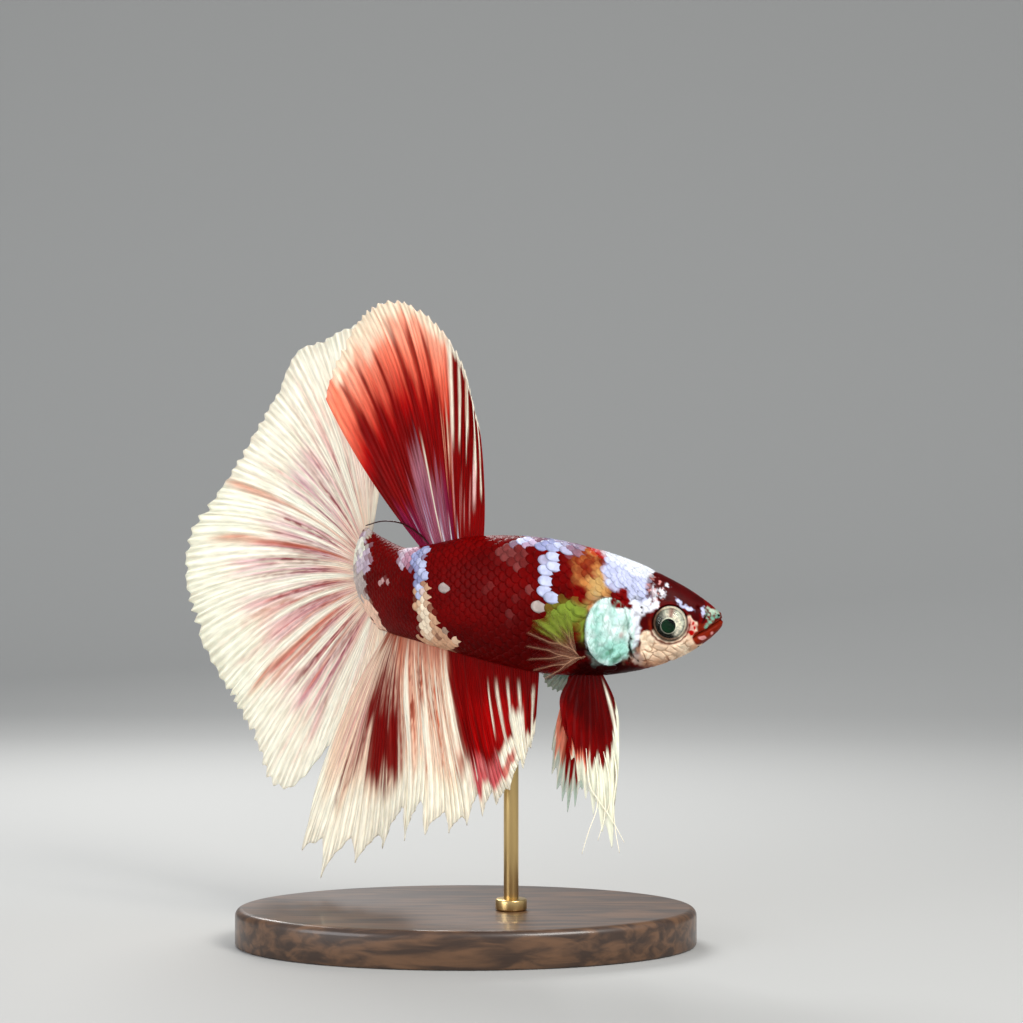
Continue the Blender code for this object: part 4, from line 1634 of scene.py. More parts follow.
class TailFin(MiddleFin):
    """The half-circle tail fin; a row of edge is an angle in degrees and the radius there."""

    sweep = ((0.0, 0.0, 0.0), (0.3, -0.05, 0.0), (0.6, -0.08, 0.0), (1.0, 0.0, 0.0))
    centre = (41.5, 3.7)
    angles = (94.0, -91.0)
    sink = 1.0
    edge = (
        (-91.0, 25.5), (-83.0, 26.0), (-74.0, 22.5), (-65.0, 21.0), (-58.0, 28.6), (-52.0, 30.6),
        (-44.0, 28.9), (-30.0, 28.7), (-14.0, 29.8), (10.0, 29.9), (22.0, 27.4), (35.0, 27.2),
        (50.0, 28.3), (60.0, 30.3), (70.0, 29.3), (94.0, 29.8),
    )  # fmt: skip

    def at(self, t: float, r: float, off: float) -> Vector:
        """A point of the sheet, moved sideways by off."""
        full, t = self.margin.reach(t), self.swept(t, r)
        end, up = self.body.tail_end, 1.0 - 2.0 * t
        mid = self.body.middle(end)
        reach = self.body.back(end) - mid if up > 0 else mid - self.body.belly(end)
        root = (end + self.body.tail_shift(end, up) - self.sink, mid + reach * up * 0.93)
        angle = lerp(*self.angles, t)
        radius = through(self.edge, angle, 1) * full
        turn = math.radians(angle)
        tip = (self.centre[0] + radius * math.cos(turn), self.centre[1] + radius * math.sin(turn))
        s, height = between(root, tip, r, 0.0)
        away = (0.1 + 0.03 * ease((t - 0.6) * 3.0)) * radius * abs(up) ** 1.5
        wave = 0.8 * r * math.sin(math.pi * 5.0 * t + 0.6)
        return self.plan.at(s, (wave - away) * r + off, height)


class BackFin(MiddleFin):
    """The dorsal fin."""

    sweep = (
        (0.0, 0.0, 0.0), (0.15, 0.12, 0.0), (0.3, 0.14, 0.02), (0.5, 0.04, 0.06), (0.8, 0.03, 0.06),
        (1.0, 0.0, 0.0),
    )  # fmt: skip
    root = (25.9, 33.4)
    edge = (
        (0.0, 26.0, 20.5), (0.18, 27.4, 27.0), (0.34, 30.6, 31.4), (0.5, 34.8, 34.2),
        (0.64, 38.8, 33.9), (0.78, 42.6, 31.2), (0.9, 45.2, 27.8), (1.0, 46.4, 24.1),
    )  # fmt: skip

    def at(self, t: float, r: float, off: float) -> Vector:
        """A point of the sheet, moved sideways by off."""
        full, t = self.margin.reach(t), self.swept(t, r)
        root, tip = self.ends(t, self.body.back, -self.sink)
        s, height = between(root, tip, r * full, lerp(0.25, -1.1, t))
        side = 0.075 * (height - root[1]) + 0.5 * r * math.sin(math.pi * 4.0 * t)
        return self.plan.at(s, side * r + off, height)


class BellyFin(MiddleFin):
    """The anal fin."""

    sweep = ((0.0, 0.0, 0.0), (0.2, 0.16, 0.0), (0.5, 0.27, 0.06), (0.75, 0.24, 0.06), (1.0, 0.0, 0.0))
    root = (19.6, 38.6)
    edge = (
        (0.0, 20.2, -13.2), (0.1, 21.6, -17.0), (0.22, 24.6, -20.6), (0.36, 28.4, -23.0),
        (0.52, 33.5, -24.4), (0.68, 39.5, -26.6), (0.82, 45.5, -29.4), (0.91, 49.6, -30.0),
        (0.97, 51.2, -26.5), (1.0, 50.0, -20.5),
    )  # fmt: skip

    def at(self, t: float, r: float, off: float) -> Vector:
        """A point of the sheet, moved sideways by off."""
        full, t = self.margin.reach(t), self.swept(t, r)
        root, tip = self.ends(t, self.body.belly, self.sink)
        s, height = between(root, tip, r * full, 1.3 * t)
        lean = 0.03 + 0.05 * ease((t - 0.35) * 2.0)
        side = lean * (root[1] - height) + 0.6 * r * r * math.sin(math.pi * 5.0 * t) + 0.25 * t
        return self.plan.at(s, side + off, height)


@dataclass
class PairedFin:
    """A pelvic or pectoral fin: a small fan of rays from a short root on one flank."""

    plan: PlanCurve
    flank: int
    root: tuple[float, float, float]
    root_step: Spot
    angles: Spot
    lengths: tuple[float, ...]
    tilt: float
    margin: Margin
    curl: float = 0.0
    bulge: float = 0.0
    sink: float = 0.8

    def at(self, t: float, r: float, off: float) -> Vector:
        """A point of the sheet, moved away from the flank by off."""
        place = clamp(t) * (len(self.lengths) - 1)
        i = min(int(place), len(self.lengths) - 2)
        length = lerp(self.lengths[i], self.lengths[i + 1], place - i) * self.margin.reach(t)
        reach = length * r - self.sink * (1.0 - r)
        angle, tilt = math.radians(lerp(*self.angles, t)), math.radians(self.tilt)
        flat = reach * math.cos(tilt)
        s = self.root[0] + self.root_step[0] * (t - 0.5) + flat * math.cos(angle)
        s += self.bulge * (1.0 - 2.0 * t) * math.sin(math.pi * clamp(r))
        height = self.root[1] + self.root_step[1] * (t - 0.5) + flat * math.sin(angle)
        side = self.root[2] + reach * math.sin(tilt) + self.curl * r * r + off
        return self.plan.at(s, self.flank * side, height)


FLAMES = ((0.46, 0.88), (0.55, 0.86), (0.625, 0.93), (0.745, 0.82), (0.835, 0.9), (0.915, 0.95))

TAIL_PAINT = FinPaint(
    Tint.IVORY,
    (
        Stain(Tint.CREAM, -0.1, 1.1, -0.2, 0.75, 0.6, 0.05, 0.2, 0.1),
        Stain(Tint.BLUSH, 0.2, 0.84, 0.08, 0.66, 0.9, 0.04, 0.1, 0.16),
        Stain(Tint.BLUSH, 0.03, 0.22, 0.15, 0.6, 0.4, 0.04, 0.15, 0.16),
        Stain(Tint.LILAC, 0.4, 0.56, 0.15, 0.6, 0.5, 0.04, 0.1, 0.16),
        Stain(Tint.LILAC, 0.26, 0.4, 0.28, 0.66, 0.35, 0.04, 0.1, 0.16),
        Stain(Tint.LILAC, 0.6, 0.76, 0.12, 0.5, 0.3, 0.04, 0.1, 0.16),
        Stain(Tint.PEACH, 0.1, 0.98, -0.2, 0.24, 0.6, 0.05, 0.08, 0.1),
        Stain(Tint.MILK, 0.36, 0.68, 0.74, 1.3, 0.6, 0.04, 0.1, 0.1),
        Stain(Tint.ROSE, 0.15, 0.85, 0.06, 0.62, 0.34, 0.04, 0.1, 0.14, Part.WEB),
        *strokes(Tint.MAUVE, 80, 3, (0.2, 0.82), (0.08, 0.7), 0.55, 0.4),
        *strokes(Tint.ROSE, 70, 5, (0.04, 0.96), (0.06, 0.92), 0.5, 0.4),
        *strokes(Tint.SALMON, 40, 55, (0.05, 0.95), (0.0, 0.32), 0.5, 0.7),
        *strokes(Tint.IVORY, 56, 7, (0.12, 0.86), (0.1, 0.85), 0.95),
        *strokes(Tint.PLUM, 70, 59, (0.04, 0.86), (0.05, 0.52), 0.75, 0.4),
        *strokes(Tint.PLUM, 34, 9, (0.38, 0.6), (0.16, 0.66), 0.85, 0.7),
        *strokes(Tint.PLUM, 26, 43, (0.6, 0.82), (0.08, 0.62), 0.75, 0.7),
        *strokes(Tint.BRICK, 26, 11, (0.56, 0.84), (0.1, 0.74), 0.7, 0.5),
        *strokes(Tint.PLUM, 16, 45, (0.16, 0.38), (0.12, 0.6), 0.7, 0.7),
        *strokes(Tint.IVORY, 36, 47, (0.16, 0.86), (0.06, 0.75), 0.95),
        *streaks(
            (Tint.PLUM, 0.195, 0.22, 0.5, 0.004, 0.7, 0.5),
            (Tint.PLUM, 0.265, 0.15, 0.66, 0.005, 0.8, 0.5), (Tint.BRICK, 0.352, 0.14, 1.0, 0.005, 0.7),
            (Tint.PLUM, 0.375, 0.2, 0.6, 0.004, 0.5, 0.5), (Tint.BRICK, 0.436, 0.12, 0.88, 0.005, 0.7),
            (Tint.PLUM, 0.47, 0.26, 0.58, 0.006, 0.8, 0.5), (Tint.PLUM, 0.503, 0.2, 0.64, 0.005, 0.7, 0.5),
            (Tint.PLUM, 0.562, 0.12, 0.58, 0.006, 0.7, 0.5), (Tint.BRICK, 0.658, 0.2, 0.88, 0.006, 0.8),
            (Tint.BRICK, 0.676, 0.34, 0.74, 0.004, 0.7), (Tint.PLUM, 0.716, 0.15, 0.64, 0.005, 0.7, 0.5),
            (Tint.BRICK, 0.745, 0.2, 0.6, 0.004, 0.6), (Tint.PLUM, 0.778, 0.08, 0.48, 0.005, 0.6, 0.5),
        ),
        *(streak(Tint.IVORY, *row, 0.98) for row in (
            (0.178, 0.12, 0.6, 0.008), (0.215, 0.14, 0.6, 0.006), (0.34, 0.18, 0.72, 0.008),
            (0.365, 0.22, 0.66, 0.006), (0.528, 0.12, 0.74, 0.009), (0.592, 0.14, 0.6, 0.006),
            (0.645, 0.16, 0.92, 0.007), (0.7, 0.12, 0.6, 0.006), (0.82, -0.1, 1.1, 0.012),
        )),
        Stain(Tint.IVORY, -0.1, 1.1, 0.1, 1.2, 0.3, 0.02, 0.05, 0.0, Part.RAYS),
        Stain(Tint.STONE, -0.1, 1.1, -0.2, 0.05, 0.6, 0.02, 0.02, 0.05),
        Stain(Tint.MAUVE, 0.2, 0.6, -0.2, 0.05, 0.3, 0.02, 0.02, 0.08, Part.WEB),
    ),
)  # fmt: skip

BACK_PAINT = FinPaint(
    Tint.BLOOD,
    (
        Stain(Tint.WINE, 0.45, 1.1, 0.1, 0.46, 0.5, 0.05, 0.12, 0.1),
        *strokes(Tint.WINE, 30, 29, (0.0, 1.0), (0.08, 0.62), 0.6),
        Stain(Tint.SCARLET, 0.34, 1.1, 0.56, 1.3, 0.9, 0.03, 0.1, 0.06),
        Stain(Tint.CORAL, 0.35, 1.1, 0.72, 1.3, 0.95, 0.04, 0.16, 0.06),
        Stain(Tint.PEACH, 0.36, 0.94, 0.88, 1.3, 0.6, 0.05, 0.14, 0.06),
        *strokes(Tint.WINE, 30, 57, (0.0, 0.34), (0.1, 0.8), 0.8),
        *(
            Stain(Tint.BLOOD, t - 0.03, t + 0.022, 0.2, top - 0.2, 0.95, 0.012, 0.07, 0.03)
            for t, top in FLAMES
        ),
        *(Stain(Tint.BLOOD, t - 0.01, t + 0.01, 0.4, top, 0.9, 0.008, 0.06) for t, top in FLAMES),
        Stain(Tint.BLOOD, 0.34, 0.52, 0.2, 0.58, 0.9, 0.02, 0.08, 0.1),
        *strokes(Tint.SCARLET, 14, 31, (0.4, 1.0), (0.5, 0.9), 0.4),
        Stain(Tint.MAUVE, 0.5, 0.82, -0.1, 0.26, 0.6, 0.03, 0.08, 0.14),
        Stain(Tint.MAUVE, 0.64, 0.76, 0.1, 0.36, 0.4, 0.02, 0.06, 0.14),
        Stain(Tint.GRAPE, 0.4, 1.1, -0.1, 0.24, 0.6, 0.05, 0.08, 0.12),
        *strokes(Tint.WINE, 22, 41, (0.42, 0.98), (0.0, 0.34), 0.8),
        *strokes(Tint.SALMON, 12, 35, (0.34, 0.44), (0.08, 0.66), 0.6),
        *strokes(Tint.ROSE, 8, 37, (0.2, 0.3), (0.05, 0.34), 0.6),
        *strokes(Tint.LAVENDER, 12, 33, (0.44, 0.95), (0.0, 0.22), 0.6),
        *(streak(Tint.PEARL, t, -0.1, 0.07, 0.01, 0.9) for t in (0.315, 0.47, 0.6, 0.765)),
        *streaks(
            (Tint.IVORY, 0.63, 0.05, 0.42, 0.006, 0.85), (Tint.IVORY, 0.038, 0.38, 1.1, 0.009, 0.95),
            (Tint.IVORY, 0.1, 0.44, 1.1, 0.011, 0.95), (Tint.BLUSH, 0.11, 0.24, 0.5, 0.012, 0.9),
            (Tint.ROSE, 0.15, 0.12, 0.34, 0.007, 0.6), (Tint.IVORY, 0.195, 0.62, 1.1, 0.009, 0.9),
            (Tint.IVORY, 0.2, 0.48, 0.7, 0.004, 0.85), (Tint.IVORY, 0.272, 0.52, 0.98, 0.008, 0.95),
            (Tint.IVORY, 0.335, 0.5, 1.0, 0.011, 0.95), (Tint.ROSE, 0.345, 0.12, 0.56, 0.01, 0.7),
            (Tint.PEACH, 0.212, 0.7, 1.1, 0.006, 0.7), (Tint.PEACH, 0.39, 0.38, 0.62, 0.006, 0.8),
        ),
        Stain(Tint.CREAM, 0.36, 0.95, 0.945, 1.3, 0.9, 0.04, 0.03, 0.05),
        Stain(Tint.CREAM, 0.64, 0.8, 0.86, 1.3, 0.8, 0.03, 0.05, 0.05),
        Stain(Tint.IVORY, -0.1, 0.36, 0.965, 1.3, 0.8, 0.05, 0.02, 0.05),
    ),
    clear_from=0.93,
    clear_to=0.7,
)  # fmt: skip

BELLY_PAINT = FinPaint(
    Tint.BLOOD,
    (
        *strokes(Tint.SCARLET, 34, 13, (0.02, 0.4), (0.2, 0.85), 0.8),
        Stain(Tint.SCARLET, 0.08, 0.3, 0.3, 0.62, 0.5, 0.03, 0.1, 0.1),
        *strokes(Tint.WINE, 16, 15, (0.02, 0.38), (0.0, 0.7), 0.5),
        Stain(Tint.BERRY, 0.19, 0.43, 0.72, 0.95, 0.9, 0.03, 0.06, 0.1),
        *strokes(Tint.ROSE, 10, 49, (0.22, 0.36), (0.68, 0.93), 0.6),
        Stain(Tint.IVORY, 0.075, 0.135, 0.42, 1.3, 0.97, 0.008, 0.06, 0.14),
        Stain(Tint.IVORY, -0.1, 0.075, 0.8, 1.3, 0.97, 0.01, 0.06, 0.16),
        Stain(Tint.IVORY, 0.13, 0.21, 0.66, 1.3, 0.97, 0.012, 0.04, 0.1),
        Stain(Tint.SCARLET, 0.15, 0.22, 0.77, 0.88, 0.8, 0.01, 0.03, 0.1),
        Stain(Tint.IVORY, 0.14, 0.42, 0.9, 1.3, 0.9, 0.03, 0.04, 0.08),
        *(streak(Tint.IVORY, *row) for row in (
            (0.022, 0.3, 1.1, 0.006, 0.85), (0.085, 0.2, 0.45, 0.0045, 0.85),
            (0.125, 0.2, 0.55, 0.005, 0.9), (0.17, 0.2, 0.7, 0.005, 0.9), (0.207, 0.2, 0.5, 0.004, 0.85),
            (0.385, 0.78, 1.1, 0.006, 0.9), (0.41, 0.66, 1.1, 0.006, 0.9),
        )),
        Stain(Tint.CREAM, 0.424, 1.1, 0.09, 1.3, 1.0, 0.01, 0.05, 0.1),
        *strokes(Tint.BLOOD, 20, 51, (0.4, 0.465), (0.3, 0.82), 0.95),
        Stain(Tint.PEACH, 0.43, 1.1, 0.05, 0.7, 0.8, 0.02, 0.12, 0.1),
        Stain(Tint.SALMON, 0.6, 0.76, 0.04, 0.6, 0.4, 0.03, 0.12, 0.12),
        Stain(Tint.SALMON, 0.42, 0.76, -0.2, 0.16, 0.6, 0.02, 0.05, 0.1),
        *strokes(Tint.BRICK, 60, 17, (0.42, 0.74), (0.03, 0.74), 0.85, 0.7),
        *strokes(Tint.RUST, 44, 19, (0.44, 0.76), (0.02, 0.44), 0.85, 0.8),
        *strokes(Tint.IVORY, 40, 21, (0.42, 0.74), (0.04, 0.95), 0.95),
        *strokes(Tint.ROSE, 26, 23, (0.82, 1.0), (0.06, 0.65), 0.6),
        Stain(Tint.IVORY, 0.4, 1.1, 0.76, 1.3, 0.8, 0.03, 0.08, 0.1),
        Stain(Tint.BLOOD, 0.73, 0.838, 0.14, 0.68, 0.98, 0.012, 0.06, 0.14),
        Stain(Tint.BLOOD, 0.83, 0.895, 0.2, 0.46, 0.96, 0.012, 0.06, 0.14),
        *strokes(Tint.BLOOD, 40, 25, (0.715, 0.91), (0.04, 0.8), 0.98),
        Stain(Tint.BRICK, 0.72, 1.1, -0.2, 0.09, 0.75, 0.03, 0.04, 0.1, crumble=0.5),
        *strokes(Tint.BLOOD, 30, 53, (0.7, 1.0), (0.0, 0.24), 0.7, 0.5),
        *strokes(Tint.CREAM, 7, 27, (0.75, 0.9), (0.08, 0.4), 0.6),
        *strokes(Tint.PEACH, 24, 61, (0.7, 0.93), (0.02, 0.36), 0.75, 0.6),
        *strokes(Tint.BLOOD, 30, 63, (0.7, 0.93), (0.3, 0.84), 0.9, 0.5),
    ),
)  # fmt: skip

PELVIC_PAINT = FinPaint(
    Tint.WINE,
    (
        Stain(Tint.BLOOD, -0.1, 1.1, 0.45, 1.3, 0.7, 0.1, 0.12, 0.1),
        *strokes(Tint.BLOOD, 14, 39, (0.0, 1.0), (0.0, 0.6), 0.45),
        Stain(Tint.CORAL, 0.16, 0.52, 0.66, 1.3, 0.7, 0.05, 0.04, 0.1, slant=0.7),
        Stain(Tint.MILK, -0.1, 1.1, 0.72, 1.3, 0.95, 0.1, 0.03, 0.1, slant=0.7),
        # Painted highlight: a pale streak near the fin's front edge, on its upper part by the root.
        streak(Tint.IVORY, 0.93, 0.1, 0.46, 0.018, 0.8),
    ),
    clear_from=0.66,
    clear_to=0.35,
)

FAR_PELVIC_PAINT = FinPaint(
    Tint.WINE,
    (
        Stain(Tint.BLOOD, -0.1, 1.1, 0.35, 1.3, 0.8, 0.1, 0.12, 0.1),
        Stain(Tint.CORAL, -0.1, 0.34, 0.56, 1.3, 0.85, 0.06, 0.08, 0.1),
        Stain(Tint.MINT, -0.1, 1.1, 0.82, 1.3, 0.9, 0.1, 0.04, 0.1),
        *(streak(Tint.IVORY, 0.08 + 0.11 * k, 0.78, 1.2, 0.014, 0.9) for k in range(8)),
    ),
    clear_from=0.76,
    clear_to=0.35,
)

BREAST_PAINT = FinPaint(
    Tint.WINE,
    (
        Stain(Tint.SAND, -0.1, 1.1, -0.2, 0.5, 0.32, 0.08, 0.3, opacity=0.7),
        Stain(Tint.SAND, -0.1, 1.1, -0.1, 1.3, 0.42, 0.1, 0.15, 0.0, Part.RAYS, opacity=0.45),
        Stain(Tint.MOSS, -0.1, 0.36, 0.52, 1.2, 0.9, 0.06, 0.24, opacity=0.75),
    ),
    clear_from=0.8,
    clear_to=0.1,
    body_alpha=0.15,
)

FAR_BREAST_PAINT = FinPaint(
    Tint.TEAL,
    (Stain(Tint.MINT, -0.1, 1.1, 0.75, 1.3, 0.8, 0.1, 0.05),),
    clear_from=0.2,
    clear_to=0.5,
    body_alpha=0.8,
)


# ---------------------------------------------------------------- stand and studio


def add_bar(bm: bmesh.types.BMesh, low: Vector, high: Vector, segments: int) -> None:
    """Adds an upright round bar that fills a box."""
    size = high - low
    made = bmesh.ops.create_cone(
        bm, cap_ends=True, segments=segments, radius1=0.5, radius2=0.5, depth=size.z
    )["verts"]
    bmesh.ops.scale(bm, vec=(size.x, size.y, 1.0), verts=made)
    bmesh.ops.translate(bm, vec=(low + high) / 2.0, verts=made)


def round_off(
    bm: bmesh.types.BMesh, chosen: Callable[[float, float], bool], offset: float, segments: int
) -> None:
    """Bevels the edges whose two ends' heights pass a test."""
    edges = [e for e in bm.edges if chosen(*(v.co.z for v in e.verts))]
    bmesh.ops.bevel(
        bm, geom=edges, offset=offset, segments=segments, profile=0.5, affect="EDGES", material=-1
    )


@dataclass
class Stand:
    """An oval wooden base and a brass rod with a collar."""

    bevel: float = 0.8
    foot_bevel: float = 0.25
    rod_bevel: float = 0.18
    segments: int = 128
    collar_radius: float = 1.7
    collar_height: float = 1.2
    hidden_top: float = 1.3

    def base(self, material: bpy.types.Material) -> bpy.types.Object:
        """Makes the base with its rounded rim and foot."""
        low, high = node_box("stand_base")
        bm = bmesh.new()
        add_bar(bm, low, high, self.segments)
        round_off(bm, lambda a, b: min(a, b) > high.z - 0.01, self.bevel, 6)
        round_off(bm, lambda a, b: max(a, b) < low.z + 0.01, self.foot_bevel, 2)
        made = finish_mesh("stand_base_wood", bm, material)
        made.data.shade_flat()
        for face in made.data.polygons:
            face.use_smooth = abs(face.normal.z) < 0.999
        return made

    def rod(self, material: bpy.types.Material) -> bpy.types.Object:
        """Makes the rod and the collar at its foot."""
        low, high = node_box("stand_rod")
        middle, bm = (low + high) / 2.0, bmesh.new()
        for radius, top in (
            ((high.x - low.x) / 2.0, high.z - self.hidden_top),
            (self.collar_radius, low.z + self.collar_height),
        ):
            foot = Vector((middle.x - radius, middle.y - radius, low.z))
            add_bar(bm, foot, Vector((middle.x + radius, middle.y + radius, top)), 48)
        round_off(bm, lambda a, b: abs(a - b) < 0.001, self.rod_bevel, 3)
        return finish_mesh("stand_rod_brass", bm, material)


@dataclass
class Studio:
    """The pale floor that curves up behind, the soft lights and the camera."""

    floor_width: float = 4000.0
    front: float = 1800.0
    back: float = 260.0
    curve: float = 240.0
    wall: float = 900.0
    drop: float = 0.02
    aim: tuple[float, float, float] = (0.0, 0.0, 42.0)
    camera_place: tuple[float, float, float] = (4.94, -266.0, 46.85)
    lens: float = 86.3
    sky: tuple[float, ...] = (0.93, 0.96, 1.0, 1.0)
    sky_strength: float = 0.7
    lamps: tuple = (
        ("key", (150.0, -190.0, 230.0), 130.0, 0.82, (1.0, 0.98, 0.94)),
        ("fill", (-230.0, -190.0, 90.0), 170.0, 0.44, (0.95, 0.97, 1.0)),
        ("rim", (-60.0, 190.0, 190.0), 120.0, 0.55, (1.0, 1.0, 1.0)),
    )

    def floor(self, material: bpy.types.Material) -> bpy.types.Object:
        """Makes the floor and the wall as one curved sheet."""
        sheet = Sheet(24, 80)
        quarter = self.curve * math.pi / 2.0
        whole = self.front + self.back + quarter + self.wall

        def place(t: float, r: float) -> Vector:
            """A point of the floor, of the curve behind it or of the wall."""
            x, way = (t - 0.5) * self.floor_width, r * whole - self.front
            if way >= self.back + quarter:
                return Vector((x, self.back + self.curve, way - self.back - quarter + self.curve))
            turn = max(way - self.back, 0.0) / self.curve
            y = min(way, self.back) + self.curve * math.sin(turn)
            return Vector((x, y, self.curve * (1.0 - math.cos(turn)) - self.drop))

        sheet.shape(place)
        bmesh.ops.recalc_face_normals(sheet.bm, faces=sheet.bm.faces)
        made = finish_mesh("floor", sheet.bm, material)
        if made.data.polygons[0].normal.z < 0.0:
            made.data.flip_normals()
        return made

    @staticmethod
    def add(name: str, data: bpy.types.ID, place: Vector) -> bpy.types.Object:
        """Puts a lamp or a camera in the scene."""
        made = bpy.data.objects.new(name, data)
        made.location = place * MM
        bpy.context.scene.collection.objects.link(made)
        return made

    def build(self) -> None:
        """Makes the world light, the lamps and the camera."""
        scene = bpy.context.scene
        scene.view_settings.view_transform = "Standard"
        scene.world = bpy.data.worlds.new("studio")
        scene.world.use_nodes = True
        sky = scene.world.node_tree.nodes["Background"].inputs
        sky["Color"].default_value, sky["Strength"].default_value = self.sky, self.sky_strength
        for name, spot, size, power, colour in self.lamps:
            data, place = bpy.data.lights.new(name, "AREA"), Vector(spot)
            data.size, data.energy, data.color = size * MM, power, colour
            lamp = self.add(name, data, place)
            lamp.rotation_euler = (Vector(self.aim) - place).to_track_quat("-Z", "Y").to_euler()
        data = bpy.data.cameras.new("camera")
        data.sensor_width, data.lens = 36.0, self.lens
        data.clip_start, data.clip_end = 0.01, 10.0
        scene.camera = self.add("camera", data, Vector(self.camera_place))
        scene.camera.rotation_euler = (math.pi / 2.0, 0.0, 0.0)


# ---------------------------------------------------------------- assembly


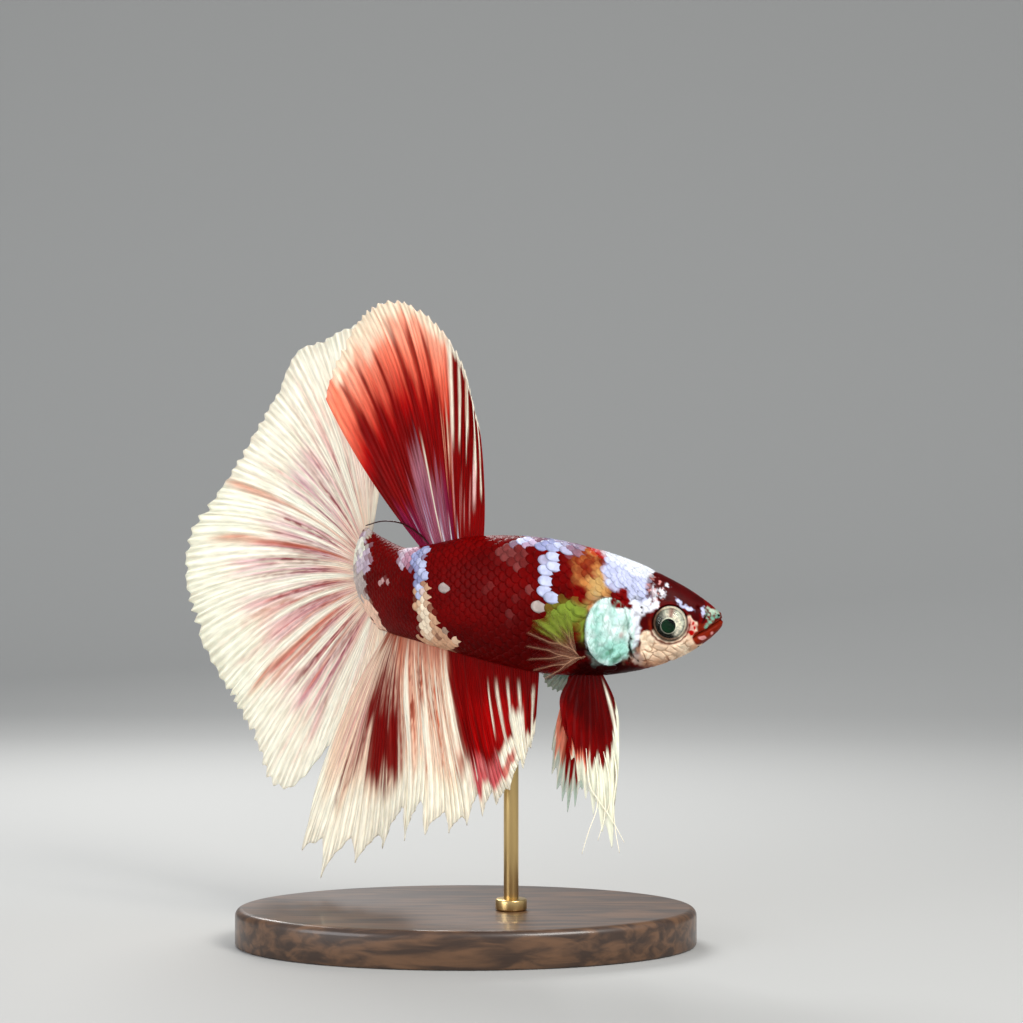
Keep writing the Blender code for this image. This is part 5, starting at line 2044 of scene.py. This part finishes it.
@dataclass
class Fish:
    """The whole fish, built on the frame's places."""

    effects: Effects
    body: BodyShape
    markings: Markings = field(default_factory=Markings)
    back_bend: tuple[float, float, float] = (33.5, 24.0, 18.0)
    last_ray: Table = (
        (32.6, 0.0, 7.6), (34.0, 0.15, 8.8), (36.4, 0.2, 10.0), (39.2, 0.1, 10.3), (41.7, 0.0, 9.8),
    )  # fmt: skip
    free_tips: tuple = (
        (0.47, 0.6, ((14.25, 2.2, -17.3), (13.4, 2.3, -18.9), (12.0, 2.5, -21.0), (10.7, 2.6, -23.4))),
        (0.58, 0.55, ((13.4, 2.0, -17.0), (13.5, 2.2, -19.8), (14.3, 2.5, -22.2), (15.0, 2.6, -24.6))),
        (0.86, 0.44, ((11.5, 2.1, -16.4), (11.8, 2.3, -19.4), (11.6, 2.5, -22.2), (11.2, 2.6, -24.5))),
        (0.64, 0.54, ((12.8, 2.0, -17.4), (12.7, 2.4, -20.5), (13.4, 2.5, -23.2))),
        (0.72, 0.5, ((12.3, 2.0, -16.4), (12.2, 2.2, -19.0), (12.6, 2.3, -20.8))),
    )

    def plan(self, leaves: float, end_heading: float, turn_length: float) -> PlanCurve:
        """The plan curve of a fin that leaves the spine at a distance."""
        spine = self.body.spine
        return PlanCurve(spine.snout, spine.level, leaves, end_heading, turn_length)

    def flesh(self) -> None:
        """Skin and scales."""
        skin = PaintedFinish("Skin", specular=0.05).build(self.effects)
        covered = ("head", "trunk", "tail_stalk", "gill_cover_right", "gill_cover_left")
        install(Skin(self.body, self.markings).build(skin), "skin", covered)
        scales = PaintedFinish("Scales", 0.44, 0.34, grain=0.25, grain_depth=0.012, mottle=0.18)
        for piece in Coat(self.body, self.markings).build(scales.build(self.effects)):
            install(piece, "pearl_scales")

    def eyes(self) -> None:
        """Both eyes."""
        ball = PaintedFinish("EyeBall", 0.3, subsurface=0.0, grain=0.1, grain_depth=0.003, mottle=0.3)
        lens = PlainFinish("Pupil", (0.001, 0.022, 0.006), roughness=0.25, specular=0.2)
        clear = PlainFinish("Cornea", (1.0, 1.0, 1.0), roughness=0.02, transmission=1.0, ior=1.2)
        finishes = (ball.build(self.effects), lens.build(), clear.build())
        for side, out in (("right", 1.0), ("left", -1.0)):
            ball_piece, *others = Eye(side, out).build(*finishes)
            install(ball_piece, "eyes", ("eye_" + side,))
            for piece in others:
                install(piece, "eyes")

    def middle_fins(self) -> None:
        """The tail fin, the anal fin and the dorsal fin."""
        tail = TailFin(self.body, self.plan(41.5, 30.0, 28.0), Margin(64, 0.016, 1.4, 0.06, 0.3, 1.5))
        belly = BellyFin(self.body, self.plan(40.5, 34.0, 20.0), Margin(13, 0.11, 1.1, 0.11, point=1.0))
        back = BackFin(self.body, self.plan(*self.back_bend), Margin(30, 0.014, 1.2, 0.06))
        cream = FinFinish("CreamFin", 112.0).build(self.effects)
        red = FinFinish("RedFin", 44.0, ray_lift=0.1).build(self.effects)
        caudal = Fin("caudal_sheet", tail.at, TAIL_PAINT, RaySystem(18), 700, 70, ray_radius=0.075)
        anal = Fin("anal_sheet", belly.at, BELLY_PAINT, RaySystem(14), 600, 70, 0.22)
        dorsal = Fin("dorsal_sheet", back.at, BACK_PAINT, RaySystem(11), 520, 64, 0.07, ray_radius=0.065)
        caudal.install(cream, "cream_fins", "caudal_fin")
        anal.install(cream, "cream_fins", "anal_fin")
        dorsal.install(red, "red_fins", "dorsal_fin")

    @property
    def near_pelvic(self) -> PairedFin:
        """Where the near pelvic fin lies."""
        return PairedFin(
            self.body.spine, 1, (14.4, -6.6, 1.0), (-3.2, 0.0), (-83.0, -97.0),
            (5.4, 8.0, 10.2, 12.2, 14.2, 16.4, 18.2, 9.5), 5.0, Margin(8, 0.12), bulge=1.1,
        )  # fmt: skip

    def paired_fins(self) -> None:
        """The pelvic and pectoral fins."""
        spine = self.body.spine
        far_pelvic = PairedFin(
            spine, -1, (15.4, -6.6, 1.0), (-2.6, 0.0), (-74.0, -90.0),
            (7.0, 10.6, 12.0, 13.4, 15.0, 14.2, 11.5, 6.0), 8.0, Margin(8, 0.12),
        )  # fmt: skip
        near_breast = PairedFin(
            spine, 1, (15.4, -3.7, 4.3), (-0.2, -0.9), (84.0, -40.0),
            (5.0, 6.0, 5.8, 5.3, 4.7, 3.8), 24.0, Margin(8, 0.1, 0.6, point=0.9),
        )  # fmt: skip
        far_breast = PairedFin(
            spine, -1, (15.4, -3.7, 4.3), (-0.3, -0.9), (0.0, -66.0),
            (4.2, 5.2, 5.8, 6.2, 5.6, 4.2), 16.0, Margin(12, 0.05), -0.8,
        )  # fmt: skip
        red = FinFinish("PelvicFin", 8.0).build(self.effects)
        clear = FinFinish("ClearFin", 12.0, glow=0.1).build(self.effects)
        thin = {"thickness": 0.06, "ray_radius": 0.045, "tip_radius": 0.02, "ray_share": 0.006}
        for name, flank, place, paint, count, taper, finish, slot in (
            ("pelvic", "right", self.near_pelvic, PELVIC_PAINT, 2, 0.0, red, "red_fins"),
            ("pelvic", "left", far_pelvic, FAR_PELVIC_PAINT, 2, 0.0, red, "red_fins"),
            ("pectoral", "right", near_breast, BREAST_PAINT, 2, 0.26, clear, "clear_fins"),
            ("pectoral", "left", far_breast, FAR_BREAST_PAINT, 3, 0.0, clear, "clear_fins"),
        ):
            rays = RaySystem(count, 0.1, 0.4, taper)
            fin = Fin(f"{name}_sheet_{flank}", place.at, paint, rays, 110, 60, **thin)
            fin.install(finish, slot, f"{name}_fin_{flank}")

    def threads(self) -> None:
        """The free threads: the dorsal fin's last ray and the pelvic fins' long tips."""
        finish = PaintedFinish("Thread", 0.3, coat=0.2, grain=0.1, mottle=0.1).build(self.effects)
        back, spine, near = self.plan(*self.back_bend), self.body.spine, self.near_pelvic
        ray = Strand(tuple(back.at(*spot) for spot in self.last_ray), 0.13, 0.06, Tint.MAROON)
        tips = [
            Strand((near.at(t, r, 0.0), *(spine.at(*spot) for spot in path)), 0.09, 0.035, Tint.IVORY)
            for t, r, path in self.free_tips
        ]
        for name, strands in (("dorsal_last_ray", [ray]), ("pelvic_threads", tips)):
            size = (len(strands), 8, 28)
            install(tubes(name, size, lambda i, share: strands[i].ring(share), finish), "red_fins")


def main() -> None:
    """Builds the fish, its stand and the studio."""
    logging.basicConfig(level=logging.INFO, format="%(name)s %(message)s")
    right, left = node_box("eye_right"), node_box("eye_left")
    eyes = (right[0] + right[1] + left[0] + left[1]) / 4.0
    spine = PlanCurve((node_box("head")[1].x, eyes.y), eyes.z - BodyShape.eye[1])
    fish = Fish(Effects(), BodyShape(spine))
    fish.flesh()
    fish.eyes()
    fish.middle_fins()
    fish.paired_fins()
    fish.threads()
    stand = Stand()
    install(stand.base(WoodFinish().build()), "stand_wood", ("stand_base",))
    brass = PlainFinish("Brass", (0.6, 0.42, 0.18), roughness=0.28, metallic=1.0)
    install(stand.rod(brass.build()), "stand_brass", ("stand_rod",))
    studio = Studio()
    studio.floor(PlainFinish("Floor", (0.41, 0.41, 0.4), roughness=0.9).build())
    studio.build()


if __name__ == "__main__":
    main()
